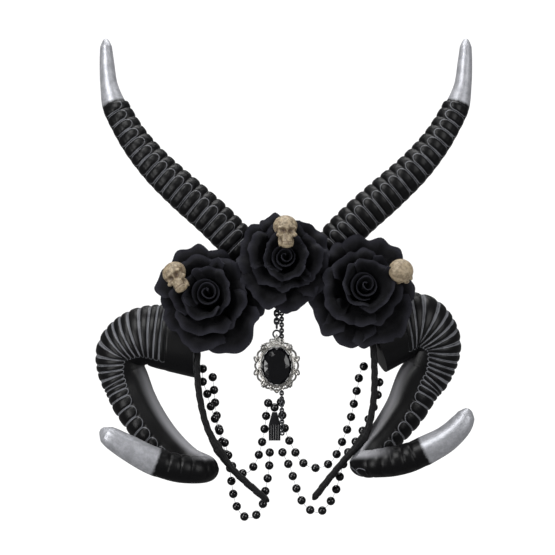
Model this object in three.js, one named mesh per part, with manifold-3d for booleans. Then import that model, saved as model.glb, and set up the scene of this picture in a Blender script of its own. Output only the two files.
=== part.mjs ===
// Devil horn headpiece: a wrapped headband that carries two ringed upper horns, two curled ram
// horns, three fabric roses with small skulls, a forehead pendant, and strings of beads at the back.
// Millimetres, +Z up. The front faces -Y, and +X is to the right as it is seen from the front.
// The origin is the underside of the headband at its highest point, where it sits on the head.
import * as THREE from "three";
import { mergeVertices } from "three/addons/utils/BufferGeometryUtils.js";
import Module from "manifold-3d";

const wasm = await Module();
wasm.setup();

// Fits
const SEAT_GAP = 0.3; // between a piece and what carries it

// Headband
const BAND_SPAN = 124; // between the middles of the two arms at their widest
const BAND_DROP = 166; // from the top of the band to the ends of its arms
const BAND_WIDTH = 11; // front to back
const BAND_THICKNESS = 4.6;
const BAND_CHAMFER = 1.3;
const BAND_STATIONS = 28;

// Upper horns
const UPPER_RISE = 163; // from the root to the tip, upwards
const UPPER_REACH = 110; // from the root to the tip, outwards
const UPPER_LEAN = 18; // how far the tip leans back
const UPPER_RADIUS = 12.2;
const UPPER_ROOT_OUT = 18; // root of the horn from the middle of the band
const UPPER_RIBS = 20;
const UPPER_RIB_HEIGHT = 1.3;
const UPPER_TIP_SHARE = 0.24; // length of the painted tip, as a share of the horn

// Ram horns
const RAM_REACH = 63; // from the root to the outermost point of the tip
const RAM_DROP = 92; // from the top of the curl to its lowest point
const RAM_DEPTH = 30; // how far the curl goes back and comes forward
const RAM_RADIUS = 22;
const RAM_FLATNESS = 0.72; // depth of the root's section over its height
const RAM_ROOT_DROP = 49; // root of the left horn below the top of the band
const RAM_ROOT_LIFT = 8; // how much higher the right horn sits
const RAM_RIBS = 24;
const RAM_RIB_HEIGHT = 1.2;
const RAM_TIP_SHARE = 0.17;
const HORN_SIDES = 10;

// Roses
const ROSE_RADIUS = 36;
const ROSE_HEIGHT = 28;
const ROSE_HUB_RADIUS = 6;
const PETAL_THICKNESS = 1.1;
const ROSE_TILT_DEG = 9; // how far the side roses face outwards
const ROSE_SIDE_OUT = 51.5; // middle of a side rose from the middle of the band
const ROSE_SIDE_DROP = 24;
const ROSE_MIDDLE_STEM = 10; // stub behind the middle rose, which stands in front of the others

// Skulls
const SKULL_HEIGHT = 22.5;
const SKULL_WIDTH = 17;

// Pendant
const PENDANT_OFFSET = -6.5; // to the left of the middle
const PENDANT_WIDTH = 31;
const PENDANT_HEIGHT = 35.5;
const PENDANT_THICKNESS = 2.4;
const STONE_WIDTH = 20.8;
const STONE_HEIGHT = 26.4;
const STONE_DEPTH = 5;
const BEZEL_WALL = 1.2;
const BOSS_RADIUS = 2.3;
const BAIL_WIRE_RADIUS = 0.6;
const BAIL_RADIUS = 1.75; // middle of the bail's wire
const JUMP_RING_RADIUS = 2.6; // middle of the ring's wire
const JUMP_RING_WIRE = 0.5;
const HINGE_DROP = 48.7; // bottom of the jump ring below the top of the band
const PENDANT_CHAIN_RADIUS = 1.3;
const PENDANT_CHAIN_INSET = 2.1; // middle of the chain behind the band's front edge

// Bead strings, back chain and comb
const BEAD_DIAMETER = 6;
const ROUTE_SPAN = 124; // span of the band that the bead routes are given for
const ROUTE_SIDE_OUT = 40; // from here outwards a route follows the arm of the band
const ROUTE_MIDDLE_OUT = 14; // from here inwards a route stays in place
const BACK_CHAIN_RADIUS = 1.5;
const COMB_HEIGHT = 21;
const COMB_WIDTH = 9;
const COMB_TOP_WIDTH = 6.4;
const COMB_THICKNESS = 2.8;
const COMB_TOP_DROP = 101.6; // top of the comb below the top of the band
const COMB_OFFSET = -8;
const COMB_BACK = 8.9;
const COMB_GROOVES = 3;

const BEAD_RADIUS = BEAD_DIAMETER / 2;
const PENDANT_CHAIN_BACK = PENDANT_CHAIN_INSET - BAND_WIDTH / 2;
const STRING_SIDES = 8;
const TUBE_STEP = 4.6; // length of a tube's step over its radius

const PVC_BLACK = { color: 0x101012, roughness: 0.2, metalness: 0 };
const PETAL_BLACK = { color: 0x1a1b22, roughness: 0.9, metalness: 0 };
const RIBBON_BLACK = { color: 0x141416, roughness: 0.6, metalness: 0 };
const BONE_RESIN = { color: 0xc2aa86, roughness: 0.6, metalness: 0 };
const ANTIQUE_SILVER = { color: 0x9a9a9c, roughness: 0.35, metalness: 1 };
const GUNMETAL = { color: 0x4a4c50, roughness: 0.35, metalness: 1 };
const BLACK_GLASS = { color: 0x050507, roughness: 0.05, metalness: 0 };
const BLACK_PLASTIC = { color: 0x121214, roughness: 0.4, metalness: 0 };

// The middle line of the band from its top, as shares of BAND_DROP and of half of BAND_SPAN.
const BAND_ARM_LEFT = [
  { drop: 0.02, out: 0.41 },
  { drop: 0.126, out: 0.77 },
  { drop: 0.294, out: 0.967 },
  { drop: 0.475, out: 1.0 },
  { drop: 0.651, out: 0.92 },
  { drop: 0.735, out: 0.83 },
  { drop: 0.853, out: 0.625 },
  { drop: 0.912, out: 0.466 },
  { drop: 1.0, out: 0.19 },
];
const BAND_ARM_RIGHT = [
  { drop: 0.02, out: 0.41 },
  { drop: 0.126, out: 0.77 },
  { drop: 0.294, out: 0.957 },
  { drop: 0.475, out: 1.0 },
  { drop: 0.609, out: 0.975 },
  { drop: 0.714, out: 0.898 },
  { drop: 0.824, out: 0.66 },
  { drop: 0.91, out: 0.47 },
  { drop: 0.992, out: 0.3 },
];

// The middle line of an upper horn from its root: shares of UPPER_REACH, UPPER_RISE, UPPER_LEAN
// and UPPER_RADIUS.
const UPPER_SECTIONS = [
  { out: 0.0, rise: 0.0, lean: 0.0, girth: 1.0 },
  { out: 0.14, rise: 0.095, lean: -0.05, girth: 1.0 },
  { out: 0.305, rise: 0.206, lean: -0.06, girth: 0.99 },
  { out: 0.485, rise: 0.314, lean: -0.02, girth: 0.98 },
  { out: 0.655, rise: 0.422, lean: 0.06, girth: 0.9 },
  { out: 0.79, rise: 0.53, lean: 0.18, girth: 0.8 },
  { out: 0.875, rise: 0.62, lean: 0.32, girth: 0.74 },
  { out: 0.935, rise: 0.7, lean: 0.46, girth: 0.71 },
  { out: 0.972, rise: 0.79, lean: 0.62, girth: 0.5 },
  { out: 0.99, rise: 0.9, lean: 0.81, girth: 0.38 },
  { out: 1.0, rise: 1.0, lean: 1.0, girth: 0.18 },
];

// The middle line of each ram horn from its root: shares of RAM_REACH, RAM_DROP, RAM_DEPTH (back
// is positive) and RAM_RADIUS.
const RAM_LEFT_SECTIONS = [
  { out: -0.06, down: 0.03, back: 0.32, girth: 1.18 },
  { out: 0.31, down: 0.0, back: 0.4, girth: 1.08 },
  { out: 0.61, down: 0.0, back: 0.45, girth: 0.93 },
  { out: 0.83, down: 0.11, back: 0.6, girth: 0.83 },
  { out: 0.83, down: 0.26, back: 0.64, girth: 0.79 },
  { out: 0.775, down: 0.35, back: 0.62, girth: 0.77 },
  { out: 0.685, down: 0.49, back: 0.52, girth: 0.74 },
  { out: 0.51, down: 0.67, back: 0.36, girth: 0.67 },
  { out: 0.29, down: 0.83, back: 0.2, girth: 0.58 },
  { out: 0.06, down: 0.94, back: 0.02, girth: 0.48 },
  { out: -0.13, down: 0.98, back: -0.28, girth: 0.42 },
  { out: -0.07, down: 0.98, back: -0.64, girth: 0.44 },
  { out: 0.16, down: 0.96, back: -0.84, girth: 0.46 },
  { out: 0.43, down: 0.9, back: -0.92, girth: 0.44 },
  { out: 0.7, down: 0.8, back: -0.97, girth: 0.4 },
  { out: 0.89, down: 0.72, back: -1.0, girth: 0.29 },
  { out: 0.99, down: 0.665, back: -1.0, girth: 0.13 },
];
const RAM_RIGHT_SECTIONS = [
  { out: -0.06, down: 0.1, back: 0.26, girth: 1.15 },
  { out: 0.24, down: 0.01, back: 0.38, girth: 1.12 },
  { out: 0.49, down: 0.0, back: 0.46, girth: 1.0 },
  { out: 0.65, down: 0.14, back: 0.58, girth: 0.88 },
  { out: 0.58, down: 0.34, back: 0.62, girth: 0.83 },
  { out: 0.475, down: 0.44, back: 0.58, girth: 0.79 },
  { out: 0.335, down: 0.62, back: 0.47, girth: 0.69 },
  { out: 0.22, down: 0.73, back: 0.36, girth: 0.63 },
  { out: 0.07, down: 0.85, back: 0.22, girth: 0.56 },
  { out: -0.09, down: 0.95, back: 0.02, girth: 0.47 },
  { out: -0.18, down: 1.02, back: -0.26, girth: 0.41 },
  { out: -0.1, down: 1.02, back: -0.6, girth: 0.45 },
  { out: 0.12, down: 1.0, back: -0.8, girth: 0.49 },
  { out: 0.32, down: 0.965, back: -0.88, girth: 0.48 },
  { out: 0.52, down: 0.9, back: -0.94, girth: 0.45 },
  { out: 0.72, down: 0.82, back: -0.98, girth: 0.41 },
  { out: 0.88, down: 0.71, back: -1.0, girth: 0.31 },
  { out: 0.96, down: 0.6, back: -1.0, girth: 0.15 },
];

// Petal layers of a rose, outermost first: radius and height as shares of ROSE_RADIUS and
// ROSE_HEIGHT, notch as a share of the layer's own radius, ruffle as a share of ROSE_HEIGHT.
const PETAL_LAYERS = [
  { name: "outer_petals", radius: 1.0, height: 0.46, petals: 6, steps: 4, notch: 0.17, ruffle: 0.06 },
  { name: "middle_petals", radius: 0.72, height: 0.74, petals: 5, steps: 4, notch: 0.15, ruffle: 0.07 },
  { name: "inner_petals", radius: 0.45, height: 0.93, petals: 4, steps: 4, notch: 0.12, ruffle: 0.05 },
];
// Height of a petal along its length, as shares of the layer's radius and height.
const PETAL_PROFILE = [
  { along: 0.45, up: 0.25 },
  { along: 0.86, up: 1.0 },
  { along: 1.0, up: 0.88 },
];
const BUD = { radius: 0.22, height: 1.0 };

// Roses: place of the middle and the turn of the petals about the way that the rose faces.
const ROSES = [
  { name: "rose_left", out: -ROSE_SIDE_OUT, drop: ROSE_SIDE_DROP, face: -ROSE_TILT_DEG, stem: 0, turn: 10, size: 1.04 },
  { name: "rose_middle", out: -0.8, drop: -2, face: 0, stem: ROSE_MIDDLE_STEM, turn: 40, size: 0.88 },
  { name: "rose_right", out: ROSE_SIDE_OUT + 1, drop: ROSE_SIDE_DROP - 5, face: ROSE_TILT_DEG, stem: 0, turn: 75, size: 1.0 },
];

// Skulls: place on the rose as shares of its radius, roll about the way that the rose faces, and
// the way that the skull looks to the side.
const SKULLS = [
  { name: "skull_left", rose: 0, across: -0.56, up: 0.46, roll: -24, look: -8 },
  { name: "skull_middle", rose: 1, across: 0.0, up: 0.76, roll: 0, look: 10 },
  { name: "skull_right", rose: 2, across: 0.6, up: 0.38, roll: -30, look: 62 },
];

// Outline of the pendant's frame: an oval whose edge swells into this many lobes.
const PENDANT_LOBES = 16;
const PENDANT_LOBE_HEIGHT = 0.045;
// Gaps pierced through the frame: clock angle from the top, and radius of the gap.
const PENDANT_GAPS = [
  { angle: 0, radius: 1.25 },
  { angle: 18, radius: 1.0 },
  { angle: 62, radius: 1.3 },
  { angle: 90, radius: 1.35 },
  { angle: 118, radius: 1.3 },
  { angle: 162, radius: 1.0 },
  { angle: 180, radius: 1.25 },
  { angle: 198, radius: 1.0 },
  { angle: 242, radius: 1.3 },
  { angle: 270, radius: 1.35 },
  { angle: 298, radius: 1.3 },
  { angle: 342, radius: 1.0 },
];
const PENDANT_BOSS_ANGLES = [38, 142, 218, 322];

// Routes of the bead strings and the back chain, chosen by hand: x, y and z in millimetres.
const STRING_ROUTES = {
  beads_left_outer: [
    [-58.4, 8.9, -68], [-58.9, 8.9, -79], [-56, 8.9, -87], [-53.5, 8.9, -96], [-48, 8.9, -112],
    [-42.5, 8.9, -125], [-40, 8.9, -136], [-38.5, 8.9, -150], [-35.5, 8.9, -166], [-30.5, 8.9, -174.5],
    [-24, 8.9, -176], [-17.5, 8.9, -169.5], [-14, 8.9, -154], [-12, 8.9, -142], [-11.3, 8.9, -127],
  ],
  beads_left_inner: [
    [-52, 9.2, -74], [-51, 11, -84], [-50.2, 14, -95], [-49, 15, -105], [-47.5, 15, -114],
    [-44, 15, -127], [-39, 15, -139], [-33, 15, -145], [-26.5, 15, -144.5], [-21, 15, -137],
    [-17.5, 14.6, -126], [-15, 14.2, -113], [-13.6, 13, -101.5], [-12, 12, -92.4],
  ],
  beads_right_inner: [
    [56.7, 9.2, -67], [52.5, 11, -73.5], [51, 13, -82.5], [49, 14.5, -92], [45, 15, -110],
    [41.5, 15, -119], [34, 15, -135], [26.5, 15, -140.8], [18, 15, -141.2], [10.5, 15, -136.5],
    [5.6, 15, -128.5], [1.4, 14.8, -120], [-1.4, 14.4, -111], [-2.8, 13.2, -102], [-3.9, 12.6, -91.8],
  ],
  beads_right_outer: [
    [65, 8.9, -77.6], [66.2, 8.9, -83], [64.5, 8.9, -90], [59.5, 8.9, -104], [51.6, 8.9, -119],
    [45, 8.9, -128], [41.2, 8.9, -136], [38, 8.9, -147], [34.5, 8.9, -158.5], [29, 8.9, -168],
    [22.5, 8.9, -172.3], [15.5, 8.9, -169.4], [10, 8.9, -162], [6, 8.9, -151], [3.4, 8.9, -142],
    [-1, 8.9, -133], [-3.8, 8.9, -127.2],
  ],
  back_chain: [
    [-3, 7.4, 2], [-3, 7.2, -10], [-3, 6.6, -40], [-3, 6.1, -75], [-2.9, 5.7, -100], [-2.6, 5.7, -118],
  ],
};

// Solids from rings of points

// Joins a grid of rings into one closed body, and turns it the right way out.
function solidFromFaces(points, faces) {
  let volume = 0;
  for (const [a, b, c] of faces) {
    volume += points[a].dot(new THREE.Vector3().crossVectors(points[b], points[c]));
  }
  const index = faces.flatMap(([a, b, c]) => (volume > 0 ? [a, b, c] : [a, c, b]));
  const geometry = new THREE.BufferGeometry().setFromPoints(points);
  geometry.setIndex(index);
  return geometry;
}

// A body through a row of rings, closed by a fan at each end.
function loft(rings) {
  const sides = rings[0].length;
  const points = rings.flat();
  const faces = [];
  for (let i = 0; i < rings.length - 1; i++) {
    for (let j = 0; j < sides; j++) {
      const a = i * sides + j;
      const b = i * sides + ((j + 1) % sides);
      faces.push([a, b, b + sides], [a, b + sides, a + sides]);
    }
  }
  for (const [ring, first, flip] of [
    [rings[0], 0, true],
    [rings[rings.length - 1], points.length - sides, false],
  ]) {
    const middle = ring.reduce((sum, p) => sum.add(p), new THREE.Vector3()).divideScalar(sides);
    const hub = points.push(middle) - 1;
    for (let j = 0; j < sides; j++) {
      const a = first + j;
      const b = first + ((j + 1) % sides);
      faces.push(flip ? [hub, b, a] : [hub, a, b]);
    }
  }
  return solidFromFaces(points, faces);
}

// A body through a closed row of rings, such as a wall around a hub.
function loftAround(rings) {
  const sides = rings[0].length;
  const faces = [];
  rings.forEach((ring, i) => {
    const next = (i + 1) % rings.length;
    for (let j = 0; j < sides; j++) {
      const k = (j + 1) % sides;
      faces.push([i * sides + j, i * sides + k, next * sides + k]);
      faces.push([i * sides + j, next * sides + k, next * sides + j]);
    }
  });
  return solidFromFaces(rings.flat(), faces);
}

// Frames along a curve whose side direction is carried along without twisting.
function framesAlong(curve, shares, firstSide) {
  const side = firstSide.clone();
  return shares.map((share) => {
    const tangent = curve.getTangentAt(share);
    side.addScaledVector(tangent, -side.dot(tangent)).normalize();
    return {
      point: curve.getPointAt(share),
      side: side.clone(),
      across: new THREE.Vector3().crossVectors(tangent, side),
    };
  });
}

function smoothCurve(points) {
  return new THREE.CatmullRomCurve3(points, false, "centripetal");
}

// Reads a column of a table of sections at a share of the curve's length.
function columnAt(curve, share, values) {
  const place = curve.getUtoTmapping(share) * (values.length - 1);
  const row = Math.min(Math.floor(place), values.length - 2);
  return THREE.MathUtils.lerp(values[row], values[row + 1], place - row);
}

function toManifold(geometry) {
  const bare = geometry.clone();
  bare.deleteAttribute("normal");
  bare.deleteAttribute("uv");
  const merged = mergeVertices(bare, 1e-4);
  return new wasm.Manifold(
    new wasm.Mesh({
      numProp: 3,
      vertProperties: new Float32Array(merged.attributes.position.array),
      triVerts: new Uint32Array(merged.index.array),
    }),
  );
}

function fromManifold(solid) {
  const mesh = solid.getMesh();
  const geometry = new THREE.BufferGeometry();
  geometry.setAttribute("position", new THREE.BufferAttribute(mesh.vertProperties, mesh.numProp));
  geometry.setIndex(new THREE.BufferAttribute(mesh.triVerts, 1));
  return geometry;
}

function cut(geometry, cutters) {
  return fromManifold(cutters.reduce((solid, cutter) => solid.subtract(toManifold(cutter)), toManifold(geometry)));
}

function join(geometries) {
  return fromManifold(geometries.map(toManifold).reduce((all, one) => all.add(one)));
}

// Headband

function bandCurve() {
  const half = BAND_SPAN / 2;
  const top = BAND_THICKNESS / 2;
  const arm = (rows, side) =>
    rows.map((row) => new THREE.Vector3(side * row.out * half, 0, top - row.drop * BAND_DROP));
  return smoothCurve([
    ...arm(BAND_ARM_LEFT, -1).reverse(),
    new THREE.Vector3(0, 0, top),
    ...arm(BAND_ARM_RIGHT, 1),
  ]);
}

// The band's section is a flat bar with chamfered corners. Clearance makes it fatter all round.
function bandSolid(clearance) {
  const halfWidth = BAND_WIDTH / 2 + clearance;
  const halfThick = BAND_THICKNESS / 2 + clearance;
  const corner = BAND_CHAMFER;
  const section = [
    [halfWidth, halfThick - corner],
    [halfWidth - corner, halfThick],
    [corner - halfWidth, halfThick],
    [-halfWidth, halfThick - corner],
    [-halfWidth, corner - halfThick],
    [corner - halfWidth, -halfThick],
    [halfWidth - corner, -halfThick],
    [halfWidth, corner - halfThick],
  ];
  const shares = Array.from({ length: BAND_STATIONS + 1 }, (_, i) => i / BAND_STATIONS);
  const frames = framesAlong(bandCurve(), shares, new THREE.Vector3(0, 1, 0));
  return loft(
    frames.map(({ point, side, across }) =>
      section.map(([wide, thick]) =>
        point.clone().addScaledVector(side, wide).addScaledVector(across, thick),
      ),
    ),
  );
}

// All that the band closes in, from its middle line inwards, so that no horn enters the head's room.
function headRoom() {
  const outline = bandCurve()
    .getSpacedPoints(BAND_STATIONS)
    .map((point) => new THREE.Vector2(point.x, point.z));
  return plate(outline, [], 4 * RAM_RADIUS, -2 * RAM_RADIUS);
}

// Horns

// Shares of a horn's length at which rings lie: each rib has a groove and a crest, and the
// painted tip is smooth.
function hornStations(ribs, tipShare, tipRings) {
  const stations = [];
  const ribbed = 1 - tipShare;
  for (let rib = 0; rib < ribs; rib++) {
    stations.push({ share: (ribbed * rib) / ribs, swell: 0 });
    stations.push({ share: (ribbed * (rib + 0.5)) / ribs, swell: 1 });
  }
  for (let ring = 0; ring <= tipRings; ring++) {
    stations.push({ share: ribbed + (tipShare * ring) / tipRings, swell: 0 });
  }
  return stations;
}

// A horn swept along its middle line. Ribs stand out on the side that "ribSide" points to at the
// root and fade into a smooth spine on the other side.
function hornSolid({ points, girths, radius, ribs, ribHeight, tipShare, ribSide, flatness }) {
  const curve = smoothCurve(points);
  const stations = hornStations(ribs, tipShare, 3);
  const frames = framesAlong(curve, stations.map((station) => station.share), ribSide);
  const rings = frames.map(({ point, side, across }, i) => {
    const { share, swell } = stations[i];
    const size = radius * columnAt(curve, share, girths);
    const flat = THREE.MathUtils.lerp(flatness, 1, Math.min(1, share * 1.6));
    return Array.from({ length: HORN_SIDES }, (_, j) => {
      const angle = (2 * Math.PI * (j + 0.5)) / HORN_SIDES;
      const weight = Math.min(1, Math.max(0, 0.65 + Math.cos(angle)));
      const reach = size - ribHeight * (1 - swell) * weight * (i > 0 && share < 1 - tipShare ? 1 : 0);
      return point
        .clone()
        .addScaledVector(side, reach * Math.cos(angle))
        .addScaledVector(across, reach * flat * Math.sin(angle));
    });
  });
  return loft(rings);
}

function upperHorn(side) {
  const points = UPPER_SECTIONS.map(
    (row) =>
      new THREE.Vector3(
        side * (UPPER_ROOT_OUT + row.out * UPPER_REACH),
        row.lean * UPPER_LEAN,
        row.rise * UPPER_RISE,
      ),
  );
  return hornSolid({
    points,
    girths: UPPER_SECTIONS.map((row) => row.girth),
    radius: UPPER_RADIUS,
    ribs: UPPER_RIBS,
    ribHeight: UPPER_RIB_HEIGHT,
    tipShare: UPPER_TIP_SHARE,
    ribSide: new THREE.Vector3(-side, -0.6, 1),
    flatness: 1,
  });
}

function ramHorn(side, sections, lift) {
  const rootOut = BAND_SPAN / 2 + BAND_THICKNESS / 2;
  const points = sections.map(
    (row) =>
      new THREE.Vector3(
        side * (rootOut + row.out * RAM_REACH),
        row.back * RAM_DEPTH,
        lift - RAM_ROOT_DROP - row.down * RAM_DROP,
      ),
  );
  return hornSolid({
    points,
    girths: sections.map((row) => row.girth),
    radius: RAM_RADIUS,
    ribs: RAM_RIBS,
    ribHeight: RAM_RIB_HEIGHT,
    tipShare: RAM_TIP_SHARE,
    ribSide: new THREE.Vector3(0, 0, 1),
    flatness: RAM_FLATNESS,
  });
}

// Roses. A rose is made about its own axis: it faces -Y, with its hub at the origin.

// Height of a petal layer above the hub at a share of the layer's radius.
function petalHeight(layer, along, angle) {
  const rows = [{ along: ROSE_HUB_RADIUS / (ROSE_RADIUS * layer.radius), up: 0 }, ...PETAL_PROFILE];
  const next = Math.max(1, rows.findIndex((row) => row.along >= along - 1e-6));
  const low = rows[next - 1];
  const high = rows[next];
  const share = Math.max(0, (along - low.along) / (high.along - low.along));
  const wave = Math.cos(angle * layer.petals * 2) * layer.ruffle * along ** 3;
  return ROSE_HEIGHT * (layer.height * THREE.MathUtils.lerp(low.up, high.up, share) + wave);
}

// One cut layer of petals: a lobed, cupped wall around an open hub.
function petalLayer(layer, index, turn, stem) {
  const radius = ROSE_RADIUS * layer.radius;
  const hubLift = stem + index * (PETAL_THICKNESS + SEAT_GAP);
  const foot = index === 0 ? stem : 0;
  const alongs = [ROSE_HUB_RADIUS / radius, ...PETAL_PROFILE.map((row) => row.along)];
  const count = layer.petals * layer.steps;
  const rings = Array.from({ length: count }, (_, i) => {
    const angle = (2 * Math.PI * i) / count;
    const lobe = Math.abs(Math.cos((angle * layer.petals) / 2)) ** 0.7;
    const edge = 1 - layer.notch * (1 - lobe);
    const point = (along, lift) => {
      const trim = along > 0.5 ? THREE.MathUtils.lerp(1, edge, (along - 0.5) * 2) : 1;
      const height = hubLift + lift + petalHeight(layer, along, angle);
      const around = angle + THREE.MathUtils.degToRad(turn + index * 31);
      const out = radius * along * trim;
      return new THREE.Vector3(out * Math.cos(around), -height, out * Math.sin(around));
    };
    const face = [ROSE_HUB_RADIUS * 0.4 / radius, ...alongs].map((along) => point(along, PETAL_THICKNESS));
    const back = [...alongs].reverse().map((along) => point(along, 0));
    if (foot > 0) back.push(point(alongs[0] * 0.9, -foot));
    return [...face, ...back, point(ROSE_HUB_RADIUS * 0.4 / radius, -foot)];
  });
  return loftAround(rings);
}

// The closed bud in the middle, swelling from its stem to a rounded twisted top.
function rosebud(index, stem) {
  const radius = ROSE_RADIUS * BUD.radius;
  const base = stem + index * (PETAL_THICKNESS + SEAT_GAP);
  const rows = [
    { out: 0.45, up: 0 },
    { out: 0.62, up: 0.3 },
    { out: 1.0, up: 0.72 },
    { out: 0.92, up: 0.93 },
    { out: 0.55, up: 1.0 },
  ];
  const sides = 10;
  const rings = rows.map((row) =>
    Array.from({ length: sides }, (_, j) => {
      const angle = (2 * Math.PI * j) / sides + row.up;
      const out = radius * row.out * (1 + 0.1 * Math.cos(3 * angle));
      const height = base + row.up * (stem + ROSE_HEIGHT * BUD.height - base);
      return new THREE.Vector3(out * Math.cos(angle), -height, out * Math.sin(angle));
    }),
  );
  return loft(rings);
}

// Skull charm: a rounded cranium with brow, cheekbones and jaw. It faces -Y, chin down.
function skullSolid() {
  const half = SKULL_WIDTH / 2;
  const cranium = new THREE.SphereGeometry(half, 10, 7).scale(1, 1.12, 1);
  cranium.translate(0, half * 0.1, SKULL_HEIGHT / 2 - half);
  const rows = [
    { up: 0.5, wide: 0.74, front: -1.0, rear: 0.2 },
    { up: 0.3, wide: 0.72, front: -1.06, rear: 0.15 },
    { up: 0.14, wide: 0.5, front: -0.98, rear: 0.1 },
    { up: 0.0, wide: 0.4, front: -0.92, rear: -0.25 },
  ];
  const rings = rows.map((row) => {
    const z = SKULL_HEIGHT * (row.up - 0.5);
    const wide = half * row.wide;
    return [
      new THREE.Vector3(-wide, half * row.rear, z),
      new THREE.Vector3(-wide, half * (row.front + 0.35), z),
      new THREE.Vector3(-wide * 0.45, half * row.front, z),
      new THREE.Vector3(wide * 0.45, half * row.front, z),
      new THREE.Vector3(wide, half * (row.front + 0.35), z),
      new THREE.Vector3(wide, half * row.rear, z),
    ];
  });
  const sockets = [-1, 1].map((side) =>
    new THREE.SphereGeometry(half * 0.3, 6, 4).translate(side * half * 0.4, -half * 1.02, SKULL_HEIGHT * 0.03),
  );
  const nose = new THREE.ConeGeometry(half * 0.16, SKULL_HEIGHT * 0.12, 3);
  nose.translate(0, -half * 1.08, -SKULL_HEIGHT * 0.14);
  return cut(join([cranium, loft(rings)]), [...sockets, nose]);
}

// How far a piece can travel along a direction before it comes within the seat gap of a carrier.
function travelToSeat(piece, carriers, direction) {
  const back = direction.clone().negate();
  const ray = new THREE.Raycaster();
  const closest = (from, targets, way) => {
    const faces = from.geometry.toNonIndexed().attributes.position;
    const corner = (i) => new THREE.Vector3().fromBufferAttribute(faces, i).applyMatrix4(from.matrixWorld);
    let near = Infinity;
    for (let i = 0; i < faces.count; i += 3) {
      const [a, b, c] = [corner(i), corner(i + 1), corner(i + 2)];
      const middles = [a.clone().lerp(b, 0.5), b.clone().lerp(c, 0.5), c.clone().lerp(a, 0.5)];
      for (const start of [a, ...middles, a.clone().add(b).add(c).divideScalar(3)]) {
        ray.set(start, way);
        for (const hit of ray.intersectObjects(targets, false)) near = Math.min(near, hit.distance);
      }
    }
    return near;
  };
  const ahead = closest(piece, carriers, direction);
  const behind = Math.min(...carriers.map((carrier) => closest(carrier, [piece], back)));
  return Math.min(ahead, behind) - SEAT_GAP;
}

// Pendant. It is made flat, facing -Y, with the middle of its stone at the origin.

function ovalPoints(halfWidth, halfHeight, count, lobes, lobeHeight) {
  return Array.from({ length: count }, (_, i) => {
    const angle = (2 * Math.PI * i) / count;
    const swell = 1 + lobeHeight * Math.cos(angle * lobes);
    return new THREE.Vector2(halfWidth * swell * Math.cos(angle), halfHeight * swell * Math.sin(angle));
  });
}

function plate(outline, holes, thickness, front) {
  const shape = new THREE.Shape(outline);
  shape.holes = holes.map((hole) => new THREE.Path(hole));
  const solid = new THREE.ExtrudeGeometry(shape, { depth: thickness, bevelEnabled: false });
  return solid.rotateX(Math.PI / 2).translate(0, front + thickness, 0);
}

function pendantSetting() {
  const halfWidth = PENDANT_WIDTH / 2;
  const halfHeight = PENDANT_HEIGHT / 2;
  const stoneWidth = STONE_WIDTH / 2 + SEAT_GAP;
  const stoneHeight = STONE_HEIGHT / 2 + SEAT_GAP;
  const middleWidth = (halfWidth + stoneWidth + BEZEL_WALL) / 2;
  const middleHeight = (halfHeight + stoneHeight + BEZEL_WALL) / 2;
  const gaps = PENDANT_GAPS.map(({ angle, radius }) => {
    const turn = THREE.MathUtils.degToRad(angle);
    return Array.from({ length: 6 }, (_, i) => {
      const round = (Math.PI * i) / 3 + turn;
      return new THREE.Vector2(
        middleWidth * Math.sin(turn) + radius * Math.cos(round),
        middleHeight * Math.cos(turn) - radius * Math.sin(round),
      );
    });
  });
  const ledge = 2;
  const frame = plate(
    ovalPoints(halfWidth, halfHeight, 2 * PENDANT_LOBES, PENDANT_LOBES, PENDANT_LOBE_HEIGHT),
    [ovalPoints(stoneWidth - ledge, stoneHeight - ledge, 16, 0, 0), ...gaps],
    PENDANT_THICKNESS,
    -PENDANT_THICKNESS / 2,
  );
  const bezel = plate(
    ovalPoints(stoneWidth + BEZEL_WALL, stoneHeight + BEZEL_WALL, 20, 0, 0),
    [ovalPoints(stoneWidth, stoneHeight, 20, 0, 0)],
    STONE_DEPTH * 0.5 + PENDANT_THICKNESS / 2,
    -PENDANT_THICKNESS / 2 - STONE_DEPTH * 0.5,
  );
  const bosses = PENDANT_BOSS_ANGLES.map((angle) => {
    const turn = THREE.MathUtils.degToRad(angle);
    const boss = new THREE.SphereGeometry(BOSS_RADIUS, 6, 5);
    return boss.translate(
      halfWidth * 0.92 * Math.sin(turn),
      -PENDANT_THICKNESS / 2,
      halfHeight * 0.92 * Math.cos(turn),
    );
  });
  const point = new THREE.ConeGeometry(2.4, 3, 6).rotateX(Math.PI);
  point.translate(0, 0, -halfHeight);
  const bail = new THREE.TorusGeometry(BAIL_RADIUS, BAIL_WIRE_RADIUS, 6, 10).rotateY(Math.PI / 2);
  bail.translate(0, 0, bailHeight());
  return join([frame, bezel, ...bosses, point, bail]);
}

// Middle of the bail above the middle of the stone: its lowest wire is sunk in the frame's rim.
function bailHeight() {
  return PENDANT_HEIGHT / 2 + BAIL_RADIUS;
}

// Oval stone with a table, two rows of facets above its girdle and a flat back.
function pendantStone() {
  const sides = 16;
  const rows = [
    { size: 0.96, front: PENDANT_THICKNESS / 2 - SEAT_GAP },
    { size: 1.0, front: 0.45 * STONE_DEPTH },
    { size: 0.86, front: 0.8 * STONE_DEPTH },
    { size: 0.62, front: STONE_DEPTH },
  ];
  const seat = -PENDANT_THICKNESS / 2 - SEAT_GAP;
  const rings = rows.map((row, level) =>
    Array.from({ length: sides }, (_, i) => {
      const angle = (2 * Math.PI * (i + (level % 2) / 2)) / sides;
      const depth = level === 0 ? seat : seat - row.front;
      return new THREE.Vector3(
        (STONE_WIDTH / 2) * row.size * Math.sin(angle),
        depth,
        (STONE_HEIGHT / 2) * row.size * Math.cos(angle),
      );
    }),
  );
  return loft(rings);
}

// Strings, chains and comb

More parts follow.
